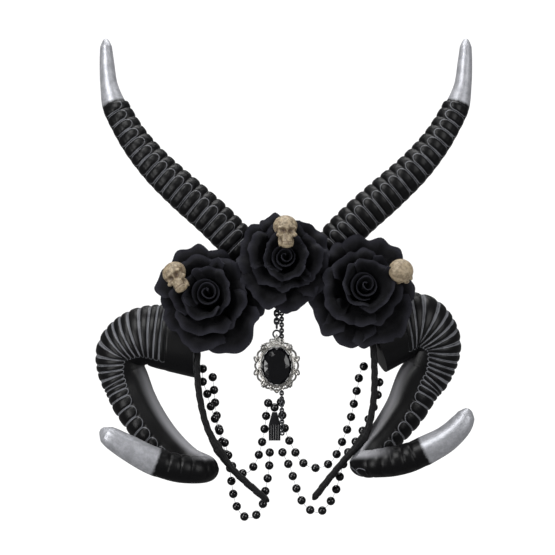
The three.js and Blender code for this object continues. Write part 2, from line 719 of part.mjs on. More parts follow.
// A round tube along a route, with a section of few sides and a step every few diameters.
function tube(points, radius) {
  const curve = smoothCurve(points);
  const outline = new THREE.Shape(
    Array.from({ length: STRING_SIDES }, (_, i) => {
      const angle = (2 * Math.PI * (i + 0.5)) / STRING_SIDES;
      return new THREE.Vector2(radius * Math.cos(angle), radius * Math.sin(angle));
    }),
  );
  const steps = Math.ceil(curve.getLength() / (radius * TUBE_STEP));
  return new THREE.ExtrudeGeometry(outline, { steps, extrudePath: curve, bevelEnabled: false });
}

// The sides of a route keep their distance to the arms of the band, and its middle stays in place.
function routePoints(name) {
  const shift = (BAND_SPAN - ROUTE_SPAN) / 2;
  return STRING_ROUTES[name].map(([x, y, z]) => {
    const share = (Math.abs(x) - ROUTE_MIDDLE_OUT) / (ROUTE_SIDE_OUT - ROUTE_MIDDLE_OUT);
    const follow = Math.min(1, Math.max(0, share));
    return new THREE.Vector3(x + Math.sign(x) * shift * follow, y, z);
  });
}

// The comb: a flat bar, wider at its foot, with grooves down its face.
function combSolid() {
  const outline = [
    [-COMB_TOP_WIDTH / 2, 0],
    [COMB_TOP_WIDTH / 2, 0],
    [COMB_WIDTH / 2, -COMB_HEIGHT * 0.35],
    [COMB_WIDTH / 2, -COMB_HEIGHT + 1.5],
    [COMB_WIDTH / 2 - 1.5, -COMB_HEIGHT],
    [1.5 - COMB_WIDTH / 2, -COMB_HEIGHT],
    [-COMB_WIDTH / 2, -COMB_HEIGHT + 1.5],
    [-COMB_WIDTH / 2, -COMB_HEIGHT * 0.35],
  ].map(([x, z]) => new THREE.Vector2(x, z));
  const bar = plate(outline, [], COMB_THICKNESS, -COMB_THICKNESS / 2);
  const pitch = COMB_WIDTH / (COMB_GROOVES + 1);
  const grooves = Array.from({ length: COMB_GROOVES }, (_, i) => {
    const groove = new THREE.BoxGeometry(pitch * 0.4, COMB_THICKNESS * 0.4, COMB_HEIGHT * 0.7);
    return groove.translate((i - (COMB_GROOVES - 1) / 2) * pitch, -COMB_THICKNESS / 2, -COMB_HEIGHT * 0.55);
  });
  return cut(bar, grooves);
}

// Assembly

const headpiece = new THREE.Group();

function piece(name, geometry, finish, parent = headpiece) {
  geometry.computeVertexNormals();
  const mesh = new THREE.Mesh(geometry, new THREE.MeshStandardMaterial(finish));
  mesh.name = name;
  parent.add(mesh);
  return mesh;
}

function addHeadbandAndHorns() {
  piece("headband", bandSolid(0), RIBBON_BLACK);
  const saddle = [bandSolid(SEAT_GAP), headRoom()];
  piece("horn_upper_left", cut(upperHorn(-1), saddle), PVC_BLACK);
  piece("horn_upper_right", cut(upperHorn(1), saddle), PVC_BLACK);
  piece("horn_ram_left", cut(ramHorn(-1, RAM_LEFT_SECTIONS, 0), saddle), PVC_BLACK);
  piece("horn_ram_right", cut(ramHorn(1, RAM_RIGHT_SECTIONS, RAM_ROOT_LIFT), saddle), PVC_BLACK);
}

function addRoses() {
  const band = headpiece.getObjectByName("headband");
  return ROSES.map((row) => {
    const rose = new THREE.Group();
    rose.position.set(row.out, -2 * BAND_WIDTH, -row.drop);
    rose.rotation.z = THREE.MathUtils.degToRad(row.face);
    headpiece.add(rose);
    PETAL_LAYERS.forEach((layer, index) => {
      piece(row.name + "_" + layer.name, petalLayer(layer, index, row.turn, row.stem), PETAL_BLACK, rose);
    });
    piece(row.name + "_bud", rosebud(PETAL_LAYERS.length, row.stem), PETAL_BLACK, rose);
    rose.children.forEach((mesh) => mesh.geometry.scale(row.size, 1, row.size));
    headpiece.updateMatrixWorld(true);
    rose.position.y += travelToSeat(rose.children[0], [band], new THREE.Vector3(0, 1, 0));
    return rose;
  });
}

function addSkulls(roses) {
  for (const row of SKULLS) {
    const rose = roses[row.rose];
    const radius = ROSE_RADIUS * ROSES[row.rose].size;
    const mesh = piece(row.name, skullSolid(), BONE_RESIN, rose);
    mesh.position.set(radius * row.across, -ROSE_HEIGHT * 3, radius * row.up);
    mesh.rotation.set(0, THREE.MathUtils.degToRad(row.roll), THREE.MathUtils.degToRad(row.look));
    headpiece.updateMatrixWorld(true);
    const inwards = new THREE.Vector3(0, 1, 0).transformDirection(rose.matrixWorld);
    const carriers = rose.children.filter((child) => child.name.startsWith("rose"));
    mesh.position.y += travelToSeat(mesh, carriers, inwards);
  }
}

// Height of the band's underside over the pendant's chain.
function bandUnderside() {
  const below = new THREE.Vector3(PENDANT_OFFSET, PENDANT_CHAIN_BACK, -HINGE_DROP);
  const ray = new THREE.Raycaster(below, new THREE.Vector3(0, 0, 1));
  return ray.intersectObject(headpiece.getObjectByName("headband"))[0].point.z;
}

function addPendant() {
  const hinge = new THREE.Group();
  hinge.position.set(PENDANT_OFFSET, PENDANT_CHAIN_BACK, -HINGE_DROP);
  headpiece.add(hinge);
  const hanging = new THREE.Group();
  hanging.position.set(0, 0, -bailHeight());
  hinge.add(hanging);
  piece("pendant_setting", pendantSetting(), ANTIQUE_SILVER, hanging);
  piece("pendant_stone", pendantStone(), BLACK_GLASS, hanging);
  const ring = new THREE.TorusGeometry(JUMP_RING_RADIUS, JUMP_RING_WIRE, 6, 14).rotateX(Math.PI / 2);
  piece("jump_ring", ring, GUNMETAL, hinge).position.set(0, 0, JUMP_RING_RADIUS);
  const ringTop = -HINGE_DROP + 2 * JUMP_RING_RADIUS + JUMP_RING_WIRE + SEAT_GAP;
  const start = new THREE.Vector3(PENDANT_OFFSET, PENDANT_CHAIN_BACK, bandUnderside() - SEAT_GAP);
  const end = new THREE.Vector3(PENDANT_OFFSET, PENDANT_CHAIN_BACK, ringTop);
  piece("pendant_chain", tube([start, end], PENDANT_CHAIN_RADIUS), GUNMETAL);
}

function addBackStrings() {
  for (const name of Object.keys(STRING_ROUTES)) {
    const chain = name === "back_chain";
    piece(name, tube(routePoints(name), chain ? BACK_CHAIN_RADIUS : BEAD_RADIUS), chain ? GUNMETAL : BLACK_GLASS);
  }
  piece("back_comb", combSolid(), BLACK_PLASTIC).position.set(COMB_OFFSET, COMB_BACK, -COMB_TOP_DROP);
  const bead = new THREE.SphereGeometry(BEAD_RADIUS, 10, 8);
  const beadHeight = BEAD_RADIUS + SEAT_GAP - COMB_TOP_DROP;
  piece("gather_bead", bead, BLACK_GLASS).position.set(COMB_OFFSET, COMB_BACK, beadHeight);
}

addHeadbandAndHorns();
addSkulls(addRoses());
addPendant();
addBackStrings();

export default headpiece;
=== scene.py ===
"""Devil horn headpiece: black moulded horns with silvered tips, three fabric roses with small
skulls, a forehead pendant, and strings of beads behind, all on a ribbon-wrapped headband.

Metres, +Z up. The front faces -Y. Tables of places are in millimetres."""

import math

import bpy
import numpy as np
from bpy.props import FloatProperty, FloatVectorProperty, IntProperty, PointerProperty
from mathutils import Matrix, Vector


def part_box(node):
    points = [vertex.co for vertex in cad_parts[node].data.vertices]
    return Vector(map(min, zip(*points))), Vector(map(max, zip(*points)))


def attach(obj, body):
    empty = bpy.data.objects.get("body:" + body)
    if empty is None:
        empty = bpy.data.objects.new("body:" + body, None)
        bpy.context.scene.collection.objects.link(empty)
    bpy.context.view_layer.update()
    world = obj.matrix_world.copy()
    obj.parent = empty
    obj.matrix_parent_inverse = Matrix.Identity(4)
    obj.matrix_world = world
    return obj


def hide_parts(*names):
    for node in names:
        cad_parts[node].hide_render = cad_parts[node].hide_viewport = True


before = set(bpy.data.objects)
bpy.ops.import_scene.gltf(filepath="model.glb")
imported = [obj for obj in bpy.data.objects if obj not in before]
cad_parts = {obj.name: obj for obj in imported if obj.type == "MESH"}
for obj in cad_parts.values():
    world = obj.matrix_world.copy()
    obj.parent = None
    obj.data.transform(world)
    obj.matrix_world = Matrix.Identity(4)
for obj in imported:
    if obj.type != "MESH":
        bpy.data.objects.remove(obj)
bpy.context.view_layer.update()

bl_info = {
    "name": "Devil horn headpiece",
    "version": (1, 0, 0),
    "blender": (4, 5, 0),
    "location": "View3D > Sidebar > Headpiece",
    "description": "Models the horns, roses, skulls, pendant and bead strings of a headpiece",
    "category": "Add Mesh",
}

MM = 0.001
SEAT_GAP = 0.3

# Headband, as shares of its drop and of half of its span
BAND_HALF_SPAN = 62.0
BAND_DROP = 166.0
BAND_WIDTH = 11.0
BAND_THICKNESS = 4.6
BAND_LEFT = [(0.02, 0.41), (0.126, 0.77), (0.294, 0.967), (0.475, 1.0), (0.651, 0.92),
             (0.735, 0.83), (0.853, 0.625), (0.912, 0.466), (1.0, 0.19)]
BAND_RIGHT = [(0.02, 0.41), (0.126, 0.77), (0.294, 0.957), (0.475, 1.0), (0.609, 0.975),
              (0.714, 0.898), (0.824, 0.66), (0.91, 0.47), (0.992, 0.3)]

# Upper horn from its root: out, rise, lean and girth, as shares of the sizes below
UPPER_REACH = 110.0
UPPER_RISE = 163.0
UPPER_LEAN = 18.0
UPPER_RADIUS = 12.2
UPPER_ROOT_OUT = 18.0
UPPER_TIP_SHARE = 0.24
UPPER_TABLE = [
    (0.0, 0.0, 0.0, 1.0), (0.14, 0.095, -0.05, 1.0), (0.305, 0.206, -0.06, 0.99),
    (0.485, 0.314, -0.02, 0.98), (0.655, 0.422, 0.06, 0.9), (0.79, 0.53, 0.18, 0.8),
    (0.875, 0.62, 0.32, 0.74), (0.935, 0.7, 0.46, 0.71), (0.972, 0.79, 0.62, 0.5),
    (0.99, 0.9, 0.81, 0.42), (1.0, 1.0, 1.0, 0.3),
]

# Ram horns from their roots: out, down, back and girth, as shares of the sizes below
RAM_REACH = 63.0
RAM_DROP = 92.0
RAM_DEPTH = 30.0
RAM_RADIUS = 22.0
RAM_FLATNESS = 0.72
RAM_TIP_SHARE = 0.17
RAM_ROOT_OUT = BAND_HALF_SPAN + BAND_THICKNESS / 2
RAM_ROOT_DROP = 49.0
RAM_LEFT_TABLE = [
    (-0.06, 0.03, 0.32, 1.18), (0.31, 0.0, 0.4, 1.08), (0.61, 0.0, 0.45, 0.93),
    (0.83, 0.11, 0.6, 0.83), (0.83, 0.26, 0.64, 0.79), (0.775, 0.35, 0.62, 0.77),
    (0.685, 0.49, 0.52, 0.74), (0.51, 0.67, 0.36, 0.67), (0.29, 0.83, 0.2, 0.58),
    (0.06, 0.94, 0.02, 0.48), (-0.13, 0.98, -0.28, 0.42), (-0.07, 0.98, -0.64, 0.44),
    (0.16, 0.96, -0.84, 0.46), (0.43, 0.9, -0.92, 0.44), (0.7, 0.8, -0.97, 0.4),
    (0.89, 0.72, -1.0, 0.33), (0.99, 0.665, -1.0, 0.2),
]
RAM_RIGHT_TABLE = [
    (-0.06, 0.1, 0.26, 1.15), (0.24, 0.01, 0.38, 1.12), (0.49, 0.0, 0.46, 1.0),
    (0.65, 0.14, 0.58, 0.88), (0.58, 0.34, 0.62, 0.83), (0.475, 0.44, 0.58, 0.79),
    (0.335, 0.62, 0.47, 0.69), (0.22, 0.73, 0.36, 0.63), (0.07, 0.85, 0.22, 0.56),
    (-0.09, 0.95, 0.02, 0.47), (-0.18, 1.02, -0.26, 0.41), (-0.1, 1.02, -0.6, 0.45),
    (0.12, 1.0, -0.8, 0.49), (0.32, 0.965, -0.88, 0.48), (0.52, 0.9, -0.94, 0.45),
    (0.72, 0.82, -0.98, 0.41), (0.88, 0.71, -1.0, 0.36), (0.96, 0.6, -1.0, 0.22),
]
# Point attributes of the horns: millimetres inside a rib's border, share of the painted sheen on
# the inner curve, millimetres past the edge of the paint
HORN_POINTS = ("rib_rim", "painted_sheen_share", "tip_reach")
# Shares of a ram horn's length, and how many of its ribs lie before each
RAM_RIB_SHARES = (0.0, 0.08, 0.16, 0.36, 0.66, 0.83, 1.0)
RAM_RIB_COUNTS = (0.0, 0.05, 0.19, 0.56, 0.83, 1.0, 1.15)
# (name, side, table, how much higher the root sits)
RAM_HORNS = [("horn_ram_left", -1, RAM_LEFT_TABLE, 0.0), ("horn_ram_right", 1, RAM_RIGHT_TABLE, 8.0)]

# Roses: middle, the way that they face (degrees about Z), turn, size and height of the stem
ROSE_RADIUS = 36.0
ROSE_HEIGHT = 28.0
ROSE_SEAT = -5.8
ROSES = {
    "rose_left": {"out": -50.0, "drop": 25.0, "face": -9.0, "nod": 0.34, "stem": 0.0, "turn": 10.0, "size": 1.0},
    "rose_middle": {"out": -0.8, "drop": -1.0, "face": 0.0, "nod": 0.32, "stem": 10.0, "turn": 40.0, "size": 0.85},
    "rose_right": {"out": 50.5, "drop": 20.5, "face": 9.0, "nod": 0.36, "stem": 0.0, "turn": 75.0, "size": 1.0},
}
# Layers of petals: radius and height as shares of the rose, and how far the rim rolls back
LAYERS = [
    {"name": "outer_petals", "radius": 1.0, "height": 0.44, "petals": 6, "overlap": 1.42, "roll": 4.0},
    {"name": "middle_petals", "radius": 0.74, "height": 0.72, "petals": 5, "overlap": 1.45, "roll": 4.2},
    {"name": "inner_petals", "radius": 0.47, "height": 0.92, "petals": 4, "overlap": 1.5, "roll": 2.4},
]
PETAL_ROOT = 0.5
HUB_STEP = 1.4

SKULL_SCALE = (1.13, 1.1, 1.07)
# Skull charms: middle, roll about the way that they face and look to the side (degrees)
SKULLS = {
    "skull_left": {"place": (-74.5, -31.0, -6.6), "roll": -34.0, "look": -12.0},
    "skull_middle": {"place": (-0.6, -42.5, 24.2), "roll": 0.0, "look": 10.0},
    "skull_right": {"place": (77.3, -31.5, -3.4), "roll": -70.0, "look": 110.0},
}

# Pendant
PENDANT_PLACE = (-6.5, -3.4, -68.2)
STONE_HALF = (10.4, 13.2)
STONE_DEPTH = 5.0

# Routes of the bead strings and the back chain
ROUTES = {
    "beads_left_outer": [
        (-58.4, 8.9, -68), (-58.9, 8.9, -79), (-56, 8.9, -87), (-53.5, 8.9, -96), (-48, 8.9, -112),
        (-42.5, 8.9, -125), (-40, 8.9, -136), (-38.5, 8.9, -150), (-35.5, 8.9, -166), (-30.5, 8.9, -174.5),
        (-24, 8.9, -176), (-17.5, 8.9, -169.5), (-14, 8.9, -154), (-12, 8.9, -142), (-11.3, 8.9, -127)],
    "beads_left_inner": [
        (-52, 9.2, -74), (-51, 11, -84), (-50.2, 14, -95), (-49, 15, -105), (-47.5, 15, -114),
        (-44, 15, -127), (-39, 15, -139), (-33, 15, -145), (-26.5, 15, -144.5), (-21, 15, -137),
        (-17.5, 14.6, -126), (-15, 14.2, -113), (-13.6, 13, -101.5), (-12, 12, -92.4)],
    "beads_right_inner": [
        (56.7, 9.2, -67), (52.5, 11, -73.5), (51, 13, -82.5), (49, 14.5, -92), (45, 15, -110),
        (41.5, 15, -119), (34, 15, -135), (26.5, 15, -140.8), (18, 15, -141.2), (10.5, 15, -136.5),
        (5.6, 15, -128.5), (1.4, 14.8, -120), (-1.4, 14.4, -111), (-2.8, 13.2, -102), (-3.9, 12.6, -91.8)],
    "beads_right_outer": [
        (65, 8.9, -77.6), (66.2, 8.9, -83), (64.5, 8.9, -90), (59.5, 8.9, -104), (51.6, 8.9, -119),
        (45, 8.9, -128), (41.2, 8.9, -136), (38, 8.9, -147), (34.5, 8.9, -158.5), (29, 8.9, -168),
        (22.5, 8.9, -172.3), (15.5, 8.9, -169.4), (10, 8.9, -162), (6, 8.9, -151), (3.4, 8.9, -142),
        (-1, 8.9, -133), (-3.8, 8.9, -127.2)],
}
BACK_CHAIN_ROUTE = [(-3, 7.4, 2), (-3, 7.2, -10), (-3, 6.6, -40), (-3, 6.1, -75), (-2.9, 5.7, -100), (-2.6, 5.7, -118)]
GATHER_BEAD = (-8.0, 8.9, -98.3)
COMB_PLACE = (-8.0, 8.9, -101.6)


def linear(hex_colour):
    """sRGB hex text such as 1a1b1e to linear red, green, blue."""
    shares = [int(hex_colour[i : i + 2], 16) / 255 for i in (0, 2, 4)]
    return [c / 12.92 if c <= 0.04045 else ((c + 0.055) / 1.055) ** 2.4 for c in shares]


def rgba(colour):
    return (*colour, 1.0)


class HeadpieceSizes(bpy.types.PropertyGroup):
    bead_diameter: FloatProperty(name="Bead diameter", description="Diameter of a glass bead",
                                 default=6.1 * MM, unit="LENGTH")
    bead_spacing: FloatProperty(name="Bead spacing", description="From one bead's middle to the next",
                                default=8.9 * MM, unit="LENGTH")
    thread_radius: FloatProperty(name="Thread radius", description="Radius of the nylon thread",
                                 default=0.2 * MM, unit="LENGTH")
    upper_ribs: IntProperty(name="Upper horn ribs", description="Rings along an upper horn", default=20)
    ram_ribs: IntProperty(name="Ram horn ribs", description="Ribs along a ram horn", default=34)
    rib_height: FloatProperty(name="Rib height", description="Depth of the grooves between ribs",
                              default=1.5 * MM, unit="LENGTH")
    petal_thickness: FloatProperty(name="Petal thickness", description="Thickness of the petal cloth",
                                   default=0.7 * MM, unit="LENGTH")
    petal_teeth: FloatProperty(name="Petal teeth", description="Width of a tooth of the pinked rims",
                               default=1.7 * MM, unit="LENGTH")
    camera_width: FloatProperty(name="View width", description="Width seen by the camera at the headband",
                                default=388.5 * MM, unit="LENGTH")


class HeadpieceColours(bpy.types.PropertyGroup):
    pvc: FloatVectorProperty(name="Moulded horn", description="Glossy black of the horns",
                             subtype="COLOR", default=linear("070708"))
    # Painted highlight: grey laid along the horns' rib borders in place of light caught on their edges
    pvc_rib_highlight: FloatVectorProperty(name="Rib borders", description="Grey of the worn rib borders",
                                  subtype="COLOR", default=linear("57585c"))
    # Painted sheen: grey laid on the ram horns' inner curve in place of a reflection of the studio light
    pvc_painted_sheen: FloatVectorProperty(name="Satin band", description="Grey bloom on the inner curve",
                                   subtype="COLOR", default=linear("8a8a8e"))
    tip_paint: FloatVectorProperty(name="Tip paint", description="Silver paint of the tips",
                                   subtype="COLOR", default=linear("9a9ba0"))
    petal: FloatVectorProperty(name="Petals", description="Dark cloth of the petals",
                               subtype="COLOR", default=linear("060608"))
    # Paler petal rims: partly fraying cloth, partly a painted highlight along the rims
    petal_rim_highlight: FloatVectorProperty(name="Petal rims", description="Frayed rims of the petals",
                                   subtype="COLOR", default=linear("1e1e24"))
    ribbon: FloatVectorProperty(name="Ribbon", description="Ribbon around the headband",
                                subtype="COLOR", default=linear("050506"))
    bone: FloatVectorProperty(name="Bone", description="Cast bone colour of the skulls",
                              subtype="COLOR", default=linear("857862"))
    bone_wash: FloatVectorProperty(name="Brown wash", description="Wash in the hollows of the skulls",
                                   subtype="COLOR", default=linear("3a2718"))
    silver: FloatVectorProperty(name="Antique silver", description="Metal of the pendant's frame",
                                subtype="COLOR", default=linear("cac8c4"))
    gunmetal: FloatVectorProperty(name="Gunmetal", description="Metal of the chains",
                                  subtype="COLOR", default=linear("5c5e62"))
    glass: FloatVectorProperty(name="Black glass", description="Beads and stone",
                               subtype="COLOR", default=linear("040405"))
    thread: FloatVectorProperty(name="Thread", description="Nylon thread of the bead strings",
                                subtype="COLOR", default=linear("c4c7ca"))
    comb: FloatVectorProperty(name="Comb", description="Plastic of the back comb",
                              subtype="COLOR", default=linear("0b0b0d"))
    backdrop: FloatVectorProperty(name="Backdrop", description="Pale studio floor and backdrop",
                                  subtype="COLOR", default=linear("fbfbfb"))


# Curves

def smooth_line(points, steps=48):
    """A smooth line through the points: its places, its length so far and its row in the table."""
    given = np.array(points, float)
    padded = np.vstack([2 * given[0] - given[1], given, 2 * given[-1] - given[-2]])
    places, rows = [], []
    for i in range(len(given) - 1):
        p0, p1, p2, p3 = padded[i : i + 4]
        d0, d1, d2 = (max(np.linalg.norm(b - a) ** 0.5, 1e-4) for a, b in ((p0, p1), (p1, p2), (p2, p3)))
        t1 = ((p1 - p0) / d0 - (p2 - p0) / (d0 + d1) + (p2 - p1) / d1) * d1
        t2 = ((p2 - p1) / d1 - (p3 - p1) / (d1 + d2) + (p3 - p2) / d2) * d1
        t = np.arange(steps)[:, None] / steps
        places.append(p1 + t * t1 + t**2 * (3 * (p2 - p1) - 2 * t1 - t2) + t**3 * (2 * (p1 - p2) + t1 + t2))
        rows.append(i + t[:, 0])
    places = np.vstack([*places, given[-1:]])
    rows = np.append(np.concatenate(rows), len(given) - 1)
    length = np.append(0, np.cumsum(np.linalg.norm(np.diff(places, axis=0), axis=1)))
    return {"places": places, "length": length, "row": rows, "total": length[-1]}


def frames_along(line, shares, first_side):
    """Places along a line with a side direction that is carried along without twisting."""
    want = np.asarray(shares) * line["total"]
    point = np.stack([np.interp(want, line["length"], line["places"][:, k]) for k in range(3)], 1)
    ahead, behind = np.minimum(want + 0.4, line["total"]), np.maximum(want - 0.4, 0)
    tangent = np.stack([np.interp(ahead, line["length"], line["places"][:, k])
                        - np.interp(behind, line["length"], line["places"][:, k]) for k in range(3)], 1)
    tangent /= np.linalg.norm(tangent, axis=1)[:, None]
    side = np.zeros_like(point)
    carried = np.array(first_side, float)
    for i, along in enumerate(tangent):
        carried = carried - along * (carried @ along)
        carried /= np.linalg.norm(carried)
        side[i] = carried
    return point, tangent, side, np.cross(tangent, side)


def table_column(line, shares, values):
    rows = np.interp(np.asarray(shares) * line["total"], line["length"], line["row"])
    return np.interp(rows, np.arange(len(values)), values)


def smoothstep(value, low, high):
    t = np.clip((value - low) / (high - low), 0, 1)
    return t * t * (3 - 2 * t)


# Modelling helpers

def start_fresh():
    """Leaves edit mode and deselects everything."""
    if bpy.context.object and bpy.context.object.mode != "OBJECT":
        bpy.ops.object.mode_set(mode="OBJECT")
    bpy.ops.object.select_all(action="DESELECT")


def make_active(obj):
    start_fresh()
    obj.select_set(True)
    bpy.context.view_layer.objects.active = obj


def clean_mesh(obj, merge=1e-6, fill=True):
    """Merges doubles, closes open ends if asked and turns all faces outwards."""
    make_active(obj)
    bpy.ops.object.mode_set(mode="EDIT")
    bpy.ops.mesh.select_all(action="SELECT")
    bpy.ops.mesh.remove_doubles(threshold=merge)
    if fill:
        bpy.ops.mesh.fill_holes(sides=0)
    bpy.ops.mesh.select_all(action="SELECT")
    bpy.ops.mesh.normals_make_consistent(inside=False)
    bpy.ops.object.mode_set(mode="OBJECT")
    return obj


def draped_grid(name, columns, rows, surface, attributes=()):
    """Adds a grid and lays its vertices on surface(u, v), in millimetres. The surface may return
    point attributes after the places, in the order of their names."""
    start_fresh()
    bpy.ops.mesh.primitive_grid_add(x_subdivisions=columns, y_subdivisions=rows, size=1.0, calc_uvs=True)
    obj = bpy.context.object
    obj.name = name
    mesh = obj.data
    flat = np.zeros(len(mesh.vertices) * 3, np.float32)
    mesh.vertices.foreach_get("co", flat)
    u, v = flat[0::3] + 0.5, flat[1::3] + 0.5
    found = surface(u.astype(float), v.astype(float))
    places, extra = (found[0], found[1:]) if attributes else (found, ())
    mesh.vertices.foreach_set("co", (np.asarray(places) * MM).astype(np.float32).ravel())
    for label, values in zip(attributes, extra):
        mesh.attributes.new(label, "FLOAT", "POINT").data.foreach_set("value", values.astype(np.float32))
    mesh.update()
    return obj


def tube(name, points, radius, sides=10, steps=None, closed=False):
    """A round tube along points in millimetres."""
    line = smooth_line([*points, points[0]] if closed else points, 12)
    count = steps or max(6, int(line["total"] / (radius * 1.6)))

    def surface(u, v):
        share = np.round(v * count) / count
        rows = np.linspace(0, 1, count + 1)
        point, _, side, across = frames_along(line, rows, (0.13, 0.21, 1.0))
        row = np.round(share * count).astype(int)
        if closed:
            row = row % count
        angle = u * 2 * np.pi
        return point[row] + radius * (np.cos(angle)[:, None] * side[row] + np.sin(angle)[:, None] * across[row])

    obj = draped_grid(name, sides, count, surface)
    return clean_mesh(obj, fill=not closed)


def copy_piece(obj, name, matrix=None):
    """A copy with its own mesh, moved by the matrix."""
    twin = obj.copy()
    twin.data = obj.data.copy()
    twin.name = name
    bpy.context.scene.collection.objects.link(twin)
    if matrix is not None:
        twin.data.transform(matrix)
    return twin


def join_pieces(pieces, name):
    start_fresh()
    for obj in pieces:
        obj.select_set(True)
    bpy.context.view_layer.objects.active = pieces[0]
    if len(pieces) > 1:
        bpy.ops.object.join()
    obj = bpy.context.object
    obj.name = name
    obj.data.name = name
    return obj


def apply_place(obj):
    make_active(obj)
    bpy.ops.object.transform_apply(location=True, rotation=True, scale=True)
    return obj


def add_modifier(obj, kind, **settings):
    """Adds a modifier, sets it and applies it."""
    make_active(obj)
    bpy.ops.object.modifier_add(type=kind)
    modifier = obj.modifiers[-1]
    for key, value in settings.items():
        setattr(modifier, key, value)
    bpy.ops.object.modifier_apply(modifier=modifier.name)
    return obj


def smooth(obj, degrees=40):
    make_active(obj)
    bpy.ops.object.shade_smooth_by_angle(angle=math.radians(degrees))
    return obj


def turn_outwards(obj):
    make_active(obj)
    bpy.ops.object.mode_set(mode="EDIT")
    bpy.ops.mesh.select_all(action="SELECT")
    bpy.ops.mesh.normals_make_consistent(inside=False)
    bpy.ops.object.mode_set(mode="OBJECT")
    return obj


def select(obj, wanted, kind="VERT"):
    """Enters edit mode with only those points or faces selected whose middle is wanted."""
    make_active(obj)
    bpy.ops.object.mode_set(mode="EDIT")
    bpy.ops.mesh.select_mode(type=kind)
    bpy.ops.mesh.select_all(action="DESELECT")
    bpy.ops.object.mode_set(mode="OBJECT")
    if kind == "FACE":
        for face in obj.data.polygons:
            face.select = wanted(face.center)
    else:
        for point in obj.data.vertices:
            point.select = wanted(point.co)
    bpy.ops.object.mode_set(mode="EDIT")


def hand_over(obj, node, materials, body="root"):
    """Names a finished piece for the node that it stands for, gives it its finish and ties it to
    the frame."""
    obj.name = obj.data.name = node + "_look"
    for material in materials:
        obj.data.materials.append(material)
    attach(obj, body)
    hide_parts(node)
    return obj


# Finishes

def add_node(tree, kind, inputs=None, **settings):
    """Adds a shader node with its settings. Inputs take values or sockets to link from."""
    made = tree.nodes.new(kind)
    for key, value in settings.items():
        setattr(made, key, value)
    for socket, value in (inputs or {}).items():
        if isinstance(value, bpy.types.NodeSocket):
            tree.links.new(value, made.inputs[socket])
        else:
            made.inputs[socket].default_value = value
    return made


def new_material(name):
    """An empty material: its node tree and its surface shader, linked to the output."""
    material = bpy.data.materials.new(name)
    material.use_nodes = True
    tree = material.node_tree
    tree.nodes.clear()
    shader = add_node(tree, "ShaderNodeBsdfPrincipled")
    add_node(tree, "ShaderNodeOutputMaterial", {"Surface": shader.outputs[0]})
    return material, tree, shader


def dress(tree, shader, linked, **plain):
    """Sets the shader's sockets: those that vary take links, the others one value all over."""
    for socket, value in linked.items():
        tree.links.new(value, shader.inputs[socket])
    for socket, value in plain.items():
        shader.inputs[socket.replace("_", " ")].default_value = value


def spots(size_mm):
    """Noise scale for features of that size."""
    return 1 / (size_mm * MM)


def bands(period_mm, unit=MM):
    """Wave texture scale for bands of that period, on coordinates of that unit."""
    return math.pi / 10 / (period_mm * unit)


